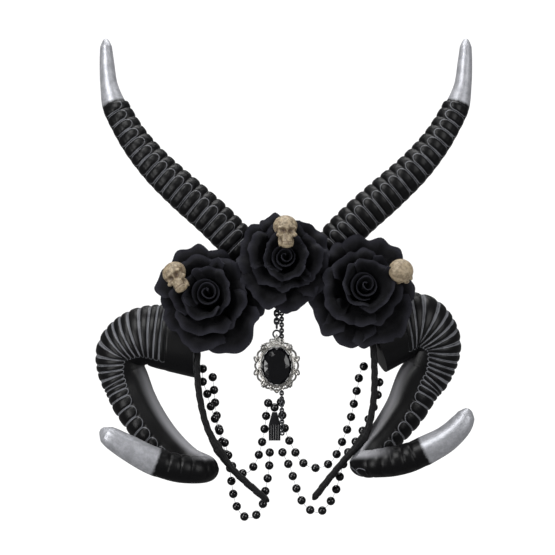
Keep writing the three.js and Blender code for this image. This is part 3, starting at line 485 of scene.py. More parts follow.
def horn_finish(colours):
    """Soft PVC, moulded: near black with a soft gloss, grey painted highlights along its rib borders,
    a grey painted sheen on the ram horns' inner curve, and a silver paint sprayed over the tips
    whose edge is worn and soft."""
    material, tree, shader = new_material("moulded_pvc_silvered_tips")
    place = add_node(tree, "ShaderNodeTexCoord").outputs["Object"]
    rim = add_node(tree, "ShaderNodeAttribute", attribute_name="rib_rim").outputs["Fac"]
    painted_sheen_share = add_node(tree, "ShaderNodeAttribute", attribute_name="painted_sheen_share").outputs["Fac"]
    reach = add_node(tree, "ShaderNodeAttribute", attribute_name="tip_reach").outputs["Fac"]
    # The painted highlight along the rib borders is wide in places and thin in others
    rubbed = add_node(tree, "ShaderNodeTexNoise", {"Vector": place, "Scale": spots(6.0), "Detail": 3.0})
    width = add_node(tree, "ShaderNodeMapRange", {0: rubbed.outputs[0], 1: 0.3, 2: 0.7, 3: 0.0, 4: 0.2})
    outer = add_node(tree, "ShaderNodeMath", {0: width.outputs[0], 1: 0.3}, operation="ADD")
    away = add_node(tree, "ShaderNodeMath", {0: rim}, operation="ABSOLUTE")
    line = add_node(tree, "ShaderNodeMapRange", {0: away.outputs[0], 1: width.outputs[0], 2: outer.outputs[0],
                                                 3: 1.0, 4: 0.0}, interpolation_type="SMOOTHSTEP")
    worn = add_node(tree, "ShaderNodeTexNoise", {"Vector": place, "Scale": spots(2.5), "Detail": 3.0})
    edge = add_node(tree, "ShaderNodeMath", {0: worn.outputs[0], 1: -3.0, 2: reach}, operation="MULTIPLY_ADD")
    paint = add_node(tree, "ShaderNodeMapRange", {0: edge.outputs[0], 1: -2.2, 2: 0.6},
                     interpolation_type="SMOOTHSTEP").outputs[0]
    brushed = add_node(tree, "ShaderNodeTexNoise", {"Vector": place, "Scale": spots(5.0), "Detail": 5.0,
                                                    "Roughness": 0.7})
    patchy = add_node(tree, "ShaderNodeMapRange", {0: brushed.outputs[0], 1: 0.35, 2: 0.65},
                      interpolation_type="SMOOTHSTEP")
    tip = add_node(tree, "ShaderNodeMix", {0: patchy.outputs[0], 6: rgba(linear("85868a")),
                                           7: rgba(colours.tip_paint)}, data_type="RGBA")
    # Painted highlight: grey along the rib borders, laid over the black
    ribbed = add_node(tree, "ShaderNodeMix", {0: line.outputs[0], 6: rgba(colours.pvc),
                                              7: rgba(colours.pvc_rib_highlight)}, data_type="RGBA")
    # Painted sheen: the grey band on the ram horns' inner curve stands in for a reflection
    painted_sheen = add_node(tree, "ShaderNodeMix", {0: painted_sheen_share, 6: ribbed.outputs[2], 7: rgba(colours.pvc_painted_sheen)},
                     data_type="RGBA")
    colour = add_node(tree, "ShaderNodeMix", {0: paint, 6: painted_sheen.outputs[2], 7: tip.outputs[2]}, data_type="RGBA")
    gloss = add_node(tree, "ShaderNodeMapRange", {0: paint, 3: 0.36, 4: 0.42})
    metal = add_node(tree, "ShaderNodeMapRange", {0: paint, 3: 0.0, 4: 0.5})
    grain = add_node(tree, "ShaderNodeTexNoise", {"Vector": place, "Scale": spots(1.6)})
    relief = add_node(tree, "ShaderNodeBump", {"Height": grain.outputs[0], "Distance": 0.05 * MM})
    dress(tree, shader, {"Base Color": colour.outputs[2], "Roughness": gloss.outputs[0],
                         "Metallic": metal.outputs[0], "Normal": relief.outputs[0]}, Specular_IOR_Level=0.16)
    return material


def petal_finish(colours):
    """Woven polyester, stiffened and stained: matt, near black with a navy tinge, a fine weave
    drawn at twice its real size so that it shows, and rims a little paler, partly from fraying
    and partly as a painted highlight."""
    material, tree, shader = new_material("stiffened_polyester_petals")
    place = add_node(tree, "ShaderNodeTexCoord")
    rim = add_node(tree, "ShaderNodeAttribute", attribute_name="rim").outputs["Fac"]
    # A petal's map is one petal, about 30 mm, across
    warp, weft = [add_node(tree, "ShaderNodeTexWave", {"Vector": place.outputs["UV"], "Scale": bands(0.9 / 30, 1.0)},
                           wave_type="BANDS", bands_direction=way).outputs["Fac"] for way in "XY"]
    cloth = add_node(tree, "ShaderNodeMath", {0: warp, 1: weft}, operation="MULTIPLY")
    blots = add_node(tree, "ShaderNodeTexNoise", {"Vector": place.outputs["Object"], "Scale": spots(7.0),
                                                  "Detail": 4.0})
    stain = add_node(tree, "ShaderNodeMapRange", {0: blots.outputs[0], 1: 0.35, 2: 0.7},
                     interpolation_type="SMOOTHSTEP")
    # Paler rims: partly fraying cloth, partly a painted highlight along the rims
    frayed_rim_highlight = add_node(tree, "ShaderNodeMapRange", {0: rim, 1: 0.86, 2: 1.0}, interpolation_type="SMOOTHSTEP")
    body = add_node(tree, "ShaderNodeMix", {0: stain.outputs[0], 6: rgba(colours.petal), 7: rgba(linear("0c0c0f"))},
                    data_type="RGBA")
    colour = add_node(tree, "ShaderNodeMix", {0: frayed_rim_highlight.outputs[0], 6: body.outputs[2], 7: rgba(colours.petal_rim_highlight)},
                      data_type="RGBA")
    relief = add_node(tree, "ShaderNodeBump", {"Height": cloth.outputs[0], "Distance": 0.08 * MM})
    dress(tree, shader, {"Base Color": colour.outputs[2], "Normal": relief.outputs[0]}, Roughness=0.85,
          Specular_IOR_Level=0.12, Sheen_Weight=0.015, Sheen_Roughness=0.4, Sheen_Tint=rgba(linear("9094a0")))
    return material


def bone_finish(colours):
    """Cast polyester resin, bone coloured, with a brown wash that stays in the hollows."""
    material, tree, shader = new_material("cast_resin_brown_wash")
    place = add_node(tree, "ShaderNodeTexCoord").outputs["Object"]
    hollow = add_node(tree, "ShaderNodeAttribute", attribute_name="hollow").outputs["Fac"]
    pits = add_node(tree, "ShaderNodeTexNoise", {"Vector": place, "Scale": spots(2.4), "Detail": 6.0,
                                                 "Roughness": 0.7})
    mottle = add_node(tree, "ShaderNodeMapRange", {0: pits.outputs[0], 1: 0.4, 2: 0.62},
                      interpolation_type="SMOOTHSTEP")
    cast = add_node(tree, "ShaderNodeMix", {0: mottle.outputs[0], 6: rgba(colours.bone), 7: rgba(linear("5c503e"))},
                    data_type="RGBA")
    colour = add_node(tree, "ShaderNodeMix", {0: hollow, 6: cast.outputs[2], 7: rgba(colours.bone_wash)},
                      data_type="RGBA")
    grain = add_node(tree, "ShaderNodeTexNoise", {"Vector": place, "Scale": spots(0.9), "Detail": 4.0})
    relief = add_node(tree, "ShaderNodeBump", {"Height": grain.outputs[0], "Distance": 0.2 * MM})
    dress(tree, shader, {"Base Color": colour.outputs[2], "Normal": relief.outputs[0]}, Roughness=0.55,
          Subsurface_Weight=0.06, Subsurface_Radius=(0.002, 0.0012, 0.0008))
    return material


def ribbon_finish(colours):
    """Polyester grosgrain ribbon wound round the band: cross ribs, drawn at twice their real
    spacing so that they show, with a slight silky gloss."""
    material, tree, shader = new_material("grosgrain_ribbon")
    place = add_node(tree, "ShaderNodeTexCoord")
    ribs = add_node(tree, "ShaderNodeTexWave", {"Vector": place.outputs["Object"], "Scale": bands(2.2),
                                                "Distortion": 0.6}, wave_type="BANDS", bands_direction="DIAGONAL")
    colour = add_node(tree, "ShaderNodeMix", {0: ribs.outputs["Fac"], 6: rgba(colours.ribbon),
                                              7: rgba(linear("0b0b0d"))}, data_type="RGBA")
    relief = add_node(tree, "ShaderNodeBump", {"Height": ribs.outputs["Fac"], "Distance": 0.1 * MM})
    dress(tree, shader, {"Base Color": colour.outputs[2], "Normal": relief.outputs[0]}, Roughness=0.6,
          Specular_IOR_Level=0.18, Sheen_Weight=0.02)
    return material


def silver_finish(colours):
    """Cast zinc, silver plated and blackened, then rubbed bright on the raised parts."""
    material, tree, shader = new_material("antique_silver_plated_zinc")
    place = add_node(tree, "ShaderNodeTexCoord").outputs["Object"]
    tarnish = add_node(tree, "ShaderNodeTexNoise", {"Vector": place, "Scale": spots(1.6), "Detail": 4.0})
    dark = add_node(tree, "ShaderNodeMapRange", {0: tarnish.outputs[0], 1: 0.48, 2: 0.72},
                    interpolation_type="SMOOTHSTEP")
    colour = add_node(tree, "ShaderNodeMix", {0: dark.outputs[0], 6: rgba(colours.silver), 7: rgba(linear("454341"))},
                      data_type="RGBA")
    dull = add_node(tree, "ShaderNodeMapRange", {0: dark.outputs[0], 3: 0.28, 4: 0.5})
    grain = add_node(tree, "ShaderNodeTexNoise", {"Vector": place, "Scale": spots(0.8)})
    relief = add_node(tree, "ShaderNodeBump", {"Height": grain.outputs[0], "Distance": 0.04 * MM})
    dress(tree, shader, {"Base Color": colour.outputs[2], "Roughness": dull.outputs[0],
                         "Normal": relief.outputs[0]}, Metallic=1.0)
    return material


def wire_finish(colours):
    """Steel wire plated in dark nickel: smooth and half dull."""
    material, tree, shader = new_material("dark_nickel_wire")
    place = add_node(tree, "ShaderNodeTexCoord").outputs["Object"]
    clouds = add_node(tree, "ShaderNodeTexNoise", {"Vector": place, "Scale": spots(2.0)})
    colour = add_node(tree, "ShaderNodeMix", {0: clouds.outputs[0], 6: rgba(colours.gunmetal),
                                              7: rgba(linear("26282b"))}, data_type="RGBA")
    dull = add_node(tree, "ShaderNodeMapRange", {0: clouds.outputs[0], 3: 0.26, 4: 0.42})
    dress(tree, shader, {"Base Color": colour.outputs[2], "Roughness": dull.outputs[0]}, Metallic=1.0)
    return material


def glass_finish(colours):
    """Opaque black glass, pressed and fire polished: deep black under a hard gloss."""
    material, tree, shader = new_material("black_pressed_glass")
    place = add_node(tree, "ShaderNodeTexCoord").outputs["Object"]
    haze = add_node(tree, "ShaderNodeTexNoise", {"Vector": place, "Scale": spots(4.0)})
    colour = add_node(tree, "ShaderNodeMix", {0: haze.outputs[0], 6: rgba(colours.glass), 7: rgba(linear("08080b"))},
                      data_type="RGBA")
    polish = add_node(tree, "ShaderNodeMapRange", {0: haze.outputs[0], 3: 0.04, 4: 0.12})
    dress(tree, shader, {"Base Color": colour.outputs[2], "Roughness": polish.outputs[0]}, IOR=1.52,
          Specular_IOR_Level=0.4)
    return material


def thread_finish(colours):
    """Clear nylon monofilament: a pale, slightly milky line."""
    material, tree, shader = new_material("clear_nylon_thread")
    place = add_node(tree, "ShaderNodeTexCoord").outputs["Object"]
    milk = add_node(tree, "ShaderNodeTexNoise", {"Vector": place, "Scale": spots(5.0)})
    colour = add_node(tree, "ShaderNodeMix", {0: milk.outputs[0], 6: rgba(colours.thread),
                                              7: rgba(linear("a9adb0"))}, data_type="RGBA")
    dress(tree, shader, {"Base Color": colour.outputs[2]}, Roughness=0.25, Transmission_Weight=0.5, IOR=1.53)
    return material


def comb_finish(colours):
    """Injection-moulded polystyrene: black, evenly glossy with faint flow marks."""
    material, tree, shader = new_material("moulded_polystyrene")
    place = add_node(tree, "ShaderNodeTexCoord").outputs["Object"]
    flow = add_node(tree, "ShaderNodeTexNoise", {"Vector": place, "Scale": spots(6.0), "Distortion": 0.8})
    colour = add_node(tree, "ShaderNodeMix", {0: flow.outputs[0], 6: rgba(colours.comb), 7: rgba(linear("131315"))},
                      data_type="RGBA")
    gloss = add_node(tree, "ShaderNodeMapRange", {0: flow.outputs[0], 3: 0.25, 4: 0.4})
    dress(tree, shader, {"Base Color": colour.outputs[2], "Roughness": gloss.outputs[0]}, IOR=1.59,
          Specular_IOR_Level=0.2)
    return material


def panel_finish(colours):
    """Opal acrylic panels lit from behind: an even white that hardly takes light from the front,
    so that nothing in front of it is washed out."""
    material, tree, shader = new_material("backlit_opal_acrylic")
    place = add_node(tree, "ShaderNodeTexCoord").outputs["Object"]
    cloud = add_node(tree, "ShaderNodeTexNoise", {"Vector": place, "Scale": spots(200.0)})
    colour = add_node(tree, "ShaderNodeMix", {0: cloud.outputs[0], 6: rgba(colours.backdrop),
                                              7: rgba(linear("ffffff"))}, data_type="RGBA")
    dress(tree, shader, {"Emission Color": colour.outputs[2]}, Base_Color=rgba(linear("3a3a3a")), Roughness=0.9,
          Emission_Strength=1.0)
    return material


def finish(name, make, colours):
    """The material of that name, made on its first use."""
    return bpy.data.materials.get(name) or make(colours)


# Headband

def band_line():
    def arm(table, side):
        return [(side * out * BAND_HALF_SPAN, 0.0, BAND_THICKNESS / 2 - drop * BAND_DROP) for drop, out in table]
    return smooth_line([*arm(BAND_LEFT, -1)[::-1], (0.0, 0.0, BAND_THICKNESS / 2), *arm(BAND_RIGHT, 1)])


def model_headband():
    """The sprung band inside its ribbon, whose windings overlap every eight millimetres."""
    line = band_line()
    rows = 420

    def surface(u, v):
        point, _, side, across = frames_along(line, np.linspace(0, 1, rows + 1), (0, 1, 0))
        row = np.round(v * rows).astype(int)
        angle = u * 2 * np.pi
        wind = (v * line["total"] / 8.0 + u) % 1.0
        step = 0.35 * smoothstep(wind, 0.0, 0.9) - 0.35 * smoothstep(wind, 0.9, 1.0)
        ends = np.clip(np.minimum(v, 1 - v) * line["total"] / 3.0, 0.02, 1) ** 0.5
        knot = np.exp(-(((v - 0.872) * line["total"]) / 5.0) ** 2) + np.exp(-(((v - 0.118) * line["total"]) / 7.0) ** 2)
        wide = (BAND_WIDTH / 2 - 0.3 + step * 0.4 + knot * 0.8) * ends
        thick = (BAND_THICKNESS / 2 - 0.25 + step + knot * 1.0) * ends
        reach = (np.abs(np.cos(angle)) ** 4 + np.abs(np.sin(angle)) ** 4) ** -0.25
        return (point[row] + (wide * reach * np.cos(angle))[:, None] * side[row]
                + (thick * reach * np.sin(angle))[:, None] * across[row])

    return smooth(clean_mesh(draped_grid("headband", 28, rows, surface)), 35)


# Horns

def head_room():
    """What the band closes in, as a cutter for the roots of the horns."""
    line = band_line()
    shares = np.linspace(0.0, 1.0, 121)
    point, _, _, across = frames_along(line, shares, (0, 1, 0))
    outline = point + across * (BAND_THICKNESS / 2 + SEAT_GAP) * np.sign(across[60][2])
    count = len(shares)

    def surface(u, v):
        edge = outline[np.round(v * (count - 1)).astype(int)]
        # The cut ends of the horns take these: no border, no painted sheen and far from the painted tip
        return (np.column_stack([edge[:, 0], (u - 0.5) * 100, edge[:, 2]]),
                np.full_like(u, -9.0), np.zeros_like(u), np.full_like(u, -99.0))

    return clean_mesh(draped_grid("head_room", 1, count - 1, surface, HORN_POINTS))


def cut_root(horn, cutter):
    make_active(horn)
    bpy.ops.object.modifier_add(type="BOOLEAN")
    modifier = horn.modifiers[-1]
    modifier.object = cutter
    modifier.operation = "DIFFERENCE"
    modifier.solver = "EXACT"
    bpy.ops.object.modifier_apply(modifier=modifier.name)
    return horn


def upper_horn(name, side, sizes, cutter):
    """A ringed horn: every ring is a rounded bulge with a long cell on its front and its back,
    and a smooth spine runs down the outer side."""
    line = smooth_line([(side * (UPPER_ROOT_OUT + out * UPPER_REACH), lean * UPPER_LEAN, rise * UPPER_RISE)
                        for out, rise, lean, _ in UPPER_TABLE])
    rows, columns = 360, 96
    shares = np.linspace(0, 1, rows + 1)
    point, _, along_side, across = frames_along(line, shares, (-side, -0.6, 1))
    girth = table_column(line, shares, [row[3] for row in UPPER_TABLE])
    girth = np.convolve(np.pad(girth, 8, mode="edge"), np.ones(17) / 17, mode="valid")
    girth[-12:] *= np.linspace(1, 0.0, 12) ** 0.4
    painted = 1 - UPPER_TIP_SHARE
    pitch = painted * line["total"] / sizes.upper_ribs
    rib_height = sizes.rib_height / MM

    def surface(u, v):
        row = np.round(v * rows).astype(int)
        angle = u * 2 * np.pi
        size = UPPER_RADIUS * girth[row]
        # 0 on the inner side, where the ribs bulge, and 180 degrees at the outer spine
        turn = np.degrees(np.abs((angle + np.pi) % (2 * np.pi) - np.pi))
        length = v * line["total"]
        place = (length / pitch) % 1.0 - 0.5
        half = pitch / 2 - 0.55
        inner = (turn - 30) * np.pi / 180 * size
        outer = (138 - turn) * np.pi / 180 * size
        rim = half - np.hypot(place * pitch, np.maximum(half - inner, 0) + np.maximum(half - outer, 0))
        ribbed = 1 - smoothstep(v, painted - 0.012, painted)
        bulge = 1 - np.abs(place * 2) ** 3.4
        spine = smoothstep(turn, 140, 152)
        height = rib_height * (np.maximum(bulge, spine * 0.8) - 1) * ribbed
        height += 0.28 * smoothstep(rim, 0.0, 0.7) * ribbed - 0.2 * np.exp(-((rim / 0.35) ** 2)) * ribbed
        fuller = 2.6 * np.clip(np.cos(angle), 0, 1) * girth[row] * smoothstep(v, 0.05, 0.15) * ribbed
        reach = size + height * np.clip(girth[row], 0.3, 1) + fuller
        places = (point[row] + (reach * np.cos(angle))[:, None] * along_side[row]
                  + (reach * np.sin(angle))[:, None] * across[row])
        rim = np.where(ribbed > 0.5, rim, -9.0)
        return places, rim, np.zeros_like(u), (v - painted) * line["total"]

    horn = draped_grid(name, columns, rows, surface, HORN_POINTS)
    return smooth(cut_root(clean_mesh(horn), cutter), 50)


def ram_horn(name, side, table, lift, sizes, cutter):
    """A curled horn: ribs fan over its outer side, a smooth hollow runs down its face, and its
    inner side carries a painted sheen, a grey band that stands in for a reflection."""
    line = smooth_line([(side * (RAM_ROOT_OUT + out * RAM_REACH), back * RAM_DEPTH,
                         lift - RAM_ROOT_DROP - down * RAM_DROP) for out, down, back, _ in table])
    rows, columns = 560, 112
    shares = np.linspace(0, 1, rows + 1)
    point, _, along_side, across = frames_along(line, shares, (0, 0, 1))
    girth = table_column(line, shares, [row[3] for row in table])
    girth = np.convolve(np.pad(girth, 8, mode="edge"), np.ones(17) / 17, mode="valid")
    girth[-12:] *= np.linspace(1, 0.0, 12) ** 0.4
    painted = 1 - RAM_TIP_SHARE
    counted = np.interp(shares, RAM_RIB_SHARES, np.array(RAM_RIB_COUNTS) * sizes.ram_ribs)
    counted = np.convolve(np.pad(counted, 12, mode="reflect", reflect_type="odd"), np.ones(25) / 25, mode="valid")
    pitches = line["total"] / rows / np.maximum(np.gradient(counted), 1e-3)
    rib_height = sizes.rib_height / MM

    def surface(u, v):
        row = np.round(v * rows).astype(int)
        angle = u * 2 * np.pi
        size = RAM_RADIUS * girth[row]
        pitch = pitches[row]
        flat = np.interp(v * 1.6, [0, 1], [RAM_FLATNESS, 1.0])
        # 0 on the outer side, 90 degrees on the face and 180 on the inner side
        turn = (np.degrees(angle * side) + 180) % 360 - 180
        face_end = np.interp(v, [0.0, 0.09, 0.16, 0.3, 0.6, 0.7], [138, 136, 134, 112, 86, 74])
        back_end = -np.interp(v, [0.0, 0.3, 0.7, 0.83], [150, 120, 110, 80])
        place = counted[row] % 1.0 - 0.5
        half = pitch / 2 - 0.35
        front = (face_end - turn) * np.pi / 180 * size
        rear = (turn - back_end) * np.pi / 180 * size
        rim = half - np.hypot(place * pitch, np.maximum(half - front, 0) + np.maximum(half - rear, 0))
        curled = smoothstep(v, 0.66, 0.7)
        ribbed = smoothstep(v, 0.075, 0.095) * (1 - smoothstep(v, painted - 0.02, painted))
        lower = np.abs((turn - 215 + 180) % 360 - 180)
        cover = smoothstep(front, -1.0, 1.5) * smoothstep(rear, -1.0, 1.5) * (1 - curled)
        cover = np.maximum(cover, curled * (1 - smoothstep(lower, 55, 80)))
        bulge = 1 - np.abs(place * 2) ** 3.0
        depth = rib_height * np.interp(v, [0.1, 0.35, 0.5], [0.5, 0.5, 1.0])
        height = depth * (bulge - 1) * ribbed * cover - depth * (1 - cover) * 0.5 * ribbed
        height += 0.3 * smoothstep(rim, 0.0, 0.8) * ribbed * (1 - curled)
        falling = smoothstep(v, 0.24, 0.34) * (1 - smoothstep(v, 0.66, 0.76))
        hollow = np.exp(-(((turn - 108) / 26) ** 2)) * falling
        keel = np.exp(-(((turn - 112) / 16) ** 2)) * smoothstep(v, 0.68, 0.76) * (1 - smoothstep(v, 0.86, 0.95))
        reach = size + height * np.clip(girth[row] * 1.3, 0.3, 1) - 1.6 * hollow + 0.9 * keel
        places = (point[row] + (reach * np.cos(angle))[:, None] * along_side[row]
                  + (reach * flat * np.sin(angle))[:, None] * across[row])
        # Painted sheen: a grey band down the inner side, widening along the curl, in place of a reflection
        inner = np.abs((turn - 172 + 180) % 360 - 180)
        wide = np.interp(v, [0.25, 0.62], [12, 30])
        painted_sheen_share = smoothstep(wide - inner, -16, 14) * falling * np.interp(v, [0.3, 0.6], [0.4, 1.0])
        rim = np.where((ribbed > 0.5) & (curled < 0.5), rim, -9.0)
        return places, rim, painted_sheen_share, (v - painted) * line["total"]

    horn = draped_grid(name, columns, rows, surface, HORN_POINTS)
    return smooth(cut_root(clean_mesh(horn), cutter), 50)


# Roses

def rose_matrix(rose):
    return (Matrix.Translation(Vector((rose["out"], ROSE_SEAT, -rose["drop"])) * MM)
            @ Matrix.Rotation(math.radians(rose["face"]), 4, "Z"))


def petal(name, layer, index, rose, sizes, seed):
    """One cut petal: narrow at the hub, cupped, ruffled, and rolled back along a pinked rim."""
    radius = ROSE_RADIUS * layer["radius"] * rose["size"]
    height = ROSE_HEIGHT * layer["height"] * rose["size"]
    step = 2 * math.pi / layer["petals"]
    middle = math.radians(rose["turn"] + layer["shift"]) + index * step
    spread = step / 2 * layer["overlap"]
    tooth = sizes.petal_teeth / MM
    base = rose["stem"] + layer["lift"]
    rand = np.random.default_rng(seed)
    sway, lean, grow, phase = rand.uniform(-1, 1, 4)
    tilt = rose["nod"]

    def surface(u, v):
        across = 2 * u - 1
        around = across * spread * (0.82 + 0.18 * v) * (1 + 0.12 * phase) + 0.16 * sway * v
        end = radius * (0.96 + 0.1 * grow + 0.045 * np.sin(across * 5 + sway * 6) + 0.02 * np.sin(across * 13 + phase * 6)
                        - 0.1 * np.abs(across) ** 3 - 0.3 * np.clip(np.abs(across) - 0.72, 0, 1))
        teeth = (np.abs(((across * spread * radius / tooth) % 1.0) - 0.5) - 0.25) * 1.5
        along = v * (1 - 0.04) + 0.04
        out = PETAL_ROOT + (end - PETAL_ROOT) * along + teeth * smoothstep(v, 0.93, 1.0)
        share = np.clip(out / radius, 0, 1.05)
        cup = np.interp(share, [0.08, 0.25, 0.45, 0.65, 0.86, 1.05], [0.0, 0.08, 0.26, 0.62, 1.0, 1.12])
        roll = smoothstep(v, 0.8, 1.0) ** 1.5
        wave = np.sin(across * (4.2 + phase) + sway * 3) * 2.2 + np.sin(across * (8.5 + grow * 2) + phase * 5) * 1.3
        rise = (height * cup + wave * v**3 * 1.5 - layer["roll"] * roll * (1 + 0.5 * np.sin(across * 3 + sway * 4))
                + 1.5 * across * v + 2.0 * lean * v**2 + 3.2 * across**2 * v**1.5)
        out = out + layer["roll"] * 0.45 * roll
        angle = middle + around
        return (np.column_stack([out * np.cos(angle), -(base + rise), out * np.sin(angle) + tilt * rise]),
                np.maximum(v, smoothstep(np.abs(across), 0.9, 1.0) * v))

    columns = 34 if layer["radius"] > 0.6 else 26
    return draped_grid(name, columns, 22, surface, ("rim",))


def petal_layer(rose_name, layer_index, sizes):
    """A layer of petals as one joined piece of cloth, with its thickness. Returns its cut size."""
    rose = ROSES[rose_name]
    layer = dict(LAYERS[layer_index], shift=layer_index * 31.0, lift=layer_index * HUB_STEP)
    name = f"{rose_name}_{layer['name']}"
    seeds = sum(map(ord, name)) * 11
    petals = [petal(f"{name}_{i}", layer, i, rose, sizes, seeds + i) for i in range(layer["petals"])]
    obj = join_pieces(petals, name)
    obj.data.transform(rose_matrix(rose))
    area = sum(face.area for face in obj.data.polygons)
    length = (ROSE_RADIUS * layer["radius"] * rose["size"] + layer["roll"]) * 1.15 * MM
    clean_mesh(obj, fill=False)
    add_modifier(obj, "SOLIDIFY", thickness=sizes.petal_thickness, offset=0.0)
    smooth(obj, 60)
    return obj, area, length


def rosebud(rose_name, sizes):
    """The closed heart of a rose: one strip of cloth rolled up, its rim flared."""
    rose = ROSES[rose_name]
    turns = 2.6
    top = (rose["stem"] + ROSE_HEIGHT * rose["size"]) * 1.0
    base = rose["stem"] + len(LAYERS) * HUB_STEP

    def surface(u, v):
        angle = u * turns * 2 * np.pi + math.radians(rose["turn"])
        outer = 0.4 + 9.6 * rose["size"] * u**0.7
        flare = 0.42 + 0.5 * v + 0.22 * smoothstep(v, 0.75, 1.0) * (0.6 + 0.4 * np.sin(angle * 1.3))
        out = outer * flare
        up = base + (top - base) * v * (1.03 - 0.16 * u + 0.05 * np.sin(angle * 1.7 + 1.0) * v)
        up = up - 1.6 * smoothstep(v, 0.9, 1.0)
        nod = rose["nod"] * (up - rose["stem"])
        return np.column_stack([out * np.cos(angle), -up, out * np.sin(angle) + nod]), v

    obj = draped_grid(f"{rose_name}_bud", 120, 16, surface, ("rim",))
    obj.data.transform(rose_matrix(rose))
    area = sum(face.area for face in obj.data.polygons)
    clean_mesh(obj, fill=False)
    add_modifier(obj, "SOLIDIFY", thickness=sizes.petal_thickness, offset=0.0)
    return smooth(obj, 60), area


# Skulls

def skull_form():
    """A skull charm about its own middle, chin down, face to -Y."""
    def ball(place, size):
        start_fresh()
        bpy.ops.mesh.primitive_uv_sphere_add(segments=28, ring_count=18, radius=1.0)
        obj = bpy.context.object
        obj.data.transform(Matrix.Translation(Vector(place) * MM) @ Matrix.Diagonal((*(Vector(size) * MM), 1)))
        return obj

    parts = [ball((0, 0.6, 3.6), (7.3, 7.9, 6.9)), ball((0, -3.2, 1.2), (5.9, 4.4, 5.2))]
    parts += [ball((s * 4.1, -4.6, -1.9), (2.3, 2.2, 1.7)) for s in (-1, 1)]
    parts += [ball((s * 2.9, -5.9, 2.5), (3.0, 1.7, 1.1)) for s in (-1, 1)]
    parts += [ball((0, -4.0, -4.4), (3.9, 3.6, 3.4)), ball((0, -4.0, -8.2), (3.7, 3.4, 2.1)),
              ball((0, -6.2, -0.6), (1.2, 1.3, 1.9))]
    parts += [ball((s * 3.7, -1.9, -6.0), (1.1, 1.8, 3.4)) for s in (-1, 1)]
    for row, drop in ((0, -5.6), (1, -7.2)):
        for i in range(6):
            turn = math.radians(-42 + 84 * i / 5)
            parts.append(ball((3.5 * math.sin(turn), -4.1 - 3.5 * math.cos(turn), drop), (0.62, 0.55, 0.85)))
    skull = join_pieces(parts, "skull")
    add_modifier(skull, "REMESH", mode="VOXEL", voxel_size=0.3 * MM, use_smooth_shade=True)
    add_modifier(skull, "SMOOTH", factor=0.5, iterations=3)
    dents = [((-2.85, -7.9, 0.5), 2.15, 2.6), ((2.85, -7.9, 0.5), 2.15, 2.6), ((0.0, -8.3, -2.6), 1.1, 1.5),
             ((-6.9, -3.2, 1.4), 2.4, 0.9), ((6.9, -3.2, 1.4), 2.4, 0.9), ((-4.6, -4.9, -4.9), 1.7, 0.8),
             ((4.6, -4.9, -4.9), 1.7, 0.8)]
    mesh = skull.data
    flat = np.zeros(len(mesh.vertices) * 3, np.float32)
    mesh.vertices.foreach_get("co", flat)
    places = flat.reshape(-1, 3).astype(float) / MM
    hollow = np.zeros(len(places))
    for place, width, depth in dents:
        near = np.exp(-((np.linalg.norm(places - place, axis=1) / width) ** 2) ** 1.4)
        inward = -np.array(place) * (1, 1, 0.2)
        places += (near * depth)[:, None] * inward / np.linalg.norm(inward)
        hollow = np.maximum(hollow, near * min(1.0, depth * 0.75))
    mouth = np.exp(-((places[:, 2] + 6.4) / 0.28) ** 2) * (places[:, 1] < -4.5) * (np.abs(places[:, 0]) < 3.9)
    gaps = np.exp(-((np.abs((places[:, 0] / 1.25) % 1.0 - 0.5) / 0.12) ** 2)) * (np.abs(places[:, 2] + 6.4) < 1.5)
    hollow = np.maximum(hollow, mouth * 0.9)
    hollow = np.maximum(hollow, gaps * 0.5 * (places[:, 1] < -4.5))
    crack = np.exp(-((places[:, 2] - 6.5 - 0.9 * np.sin(places[:, 0] * 1.9)) / 0.22) ** 2) * 0.45
    hollow = np.maximum(hollow, crack)
    mesh.vertices.foreach_set("co", (places * MM).astype(np.float32).ravel())
    mesh.attributes.new("hollow", "FLOAT", "POINT").data.foreach_set("value", hollow.astype(np.float32))
    mesh.update()
    return smooth(skull, 80)


# Pendant

def oval(half_wide, half_high, count, lobes=0, swell=0.0):
    turn = np.linspace(0, 2 * np.pi, count, endpoint=False)
    size = 1 + swell * np.cos(turn * lobes)
    return [(half_wide * s * math.sin(t), 0.0, half_high * s * math.cos(t)) for t, s in zip(turn, size)]


def shifted(x, y, z):
    return Matrix.Translation(Vector((x, y, z)) * MM)


def ring(name, radius, wire, matrix=None, major=28, minor=10, stretch=0.0):
    """A wire ring that faces -Y, stretched to an oval along Z if asked. Its closing seam shows as
    a slight waist at the lower end."""
    start_fresh()
    bpy.ops.mesh.primitive_torus_add(major_radius=radius * MM, minor_radius=wire * MM, major_segments=major,
                                     minor_segments=minor, rotation=(math.pi / 2, 0, 0))
    obj = apply_place(bpy.context.object)
    obj.name = name
    low = -radius * MM
    select(obj, lambda place: place.z < low * 0.6 and abs(place.x) < wire * 0.3 * MM)
    bpy.ops.transform.resize(value=(1, 0.88, 0.88), center_override=(0, 0, low))
    if stretch:
        for end in (-1, 1):
            select(obj, lambda place: place.z * end > 1e-7)
            bpy.ops.transform.translate(value=(0, 0, end * stretch * MM))
    bpy.ops.object.mode_set(mode="OBJECT")
    if matrix is not None:
        obj.data.transform(matrix)
    return obj


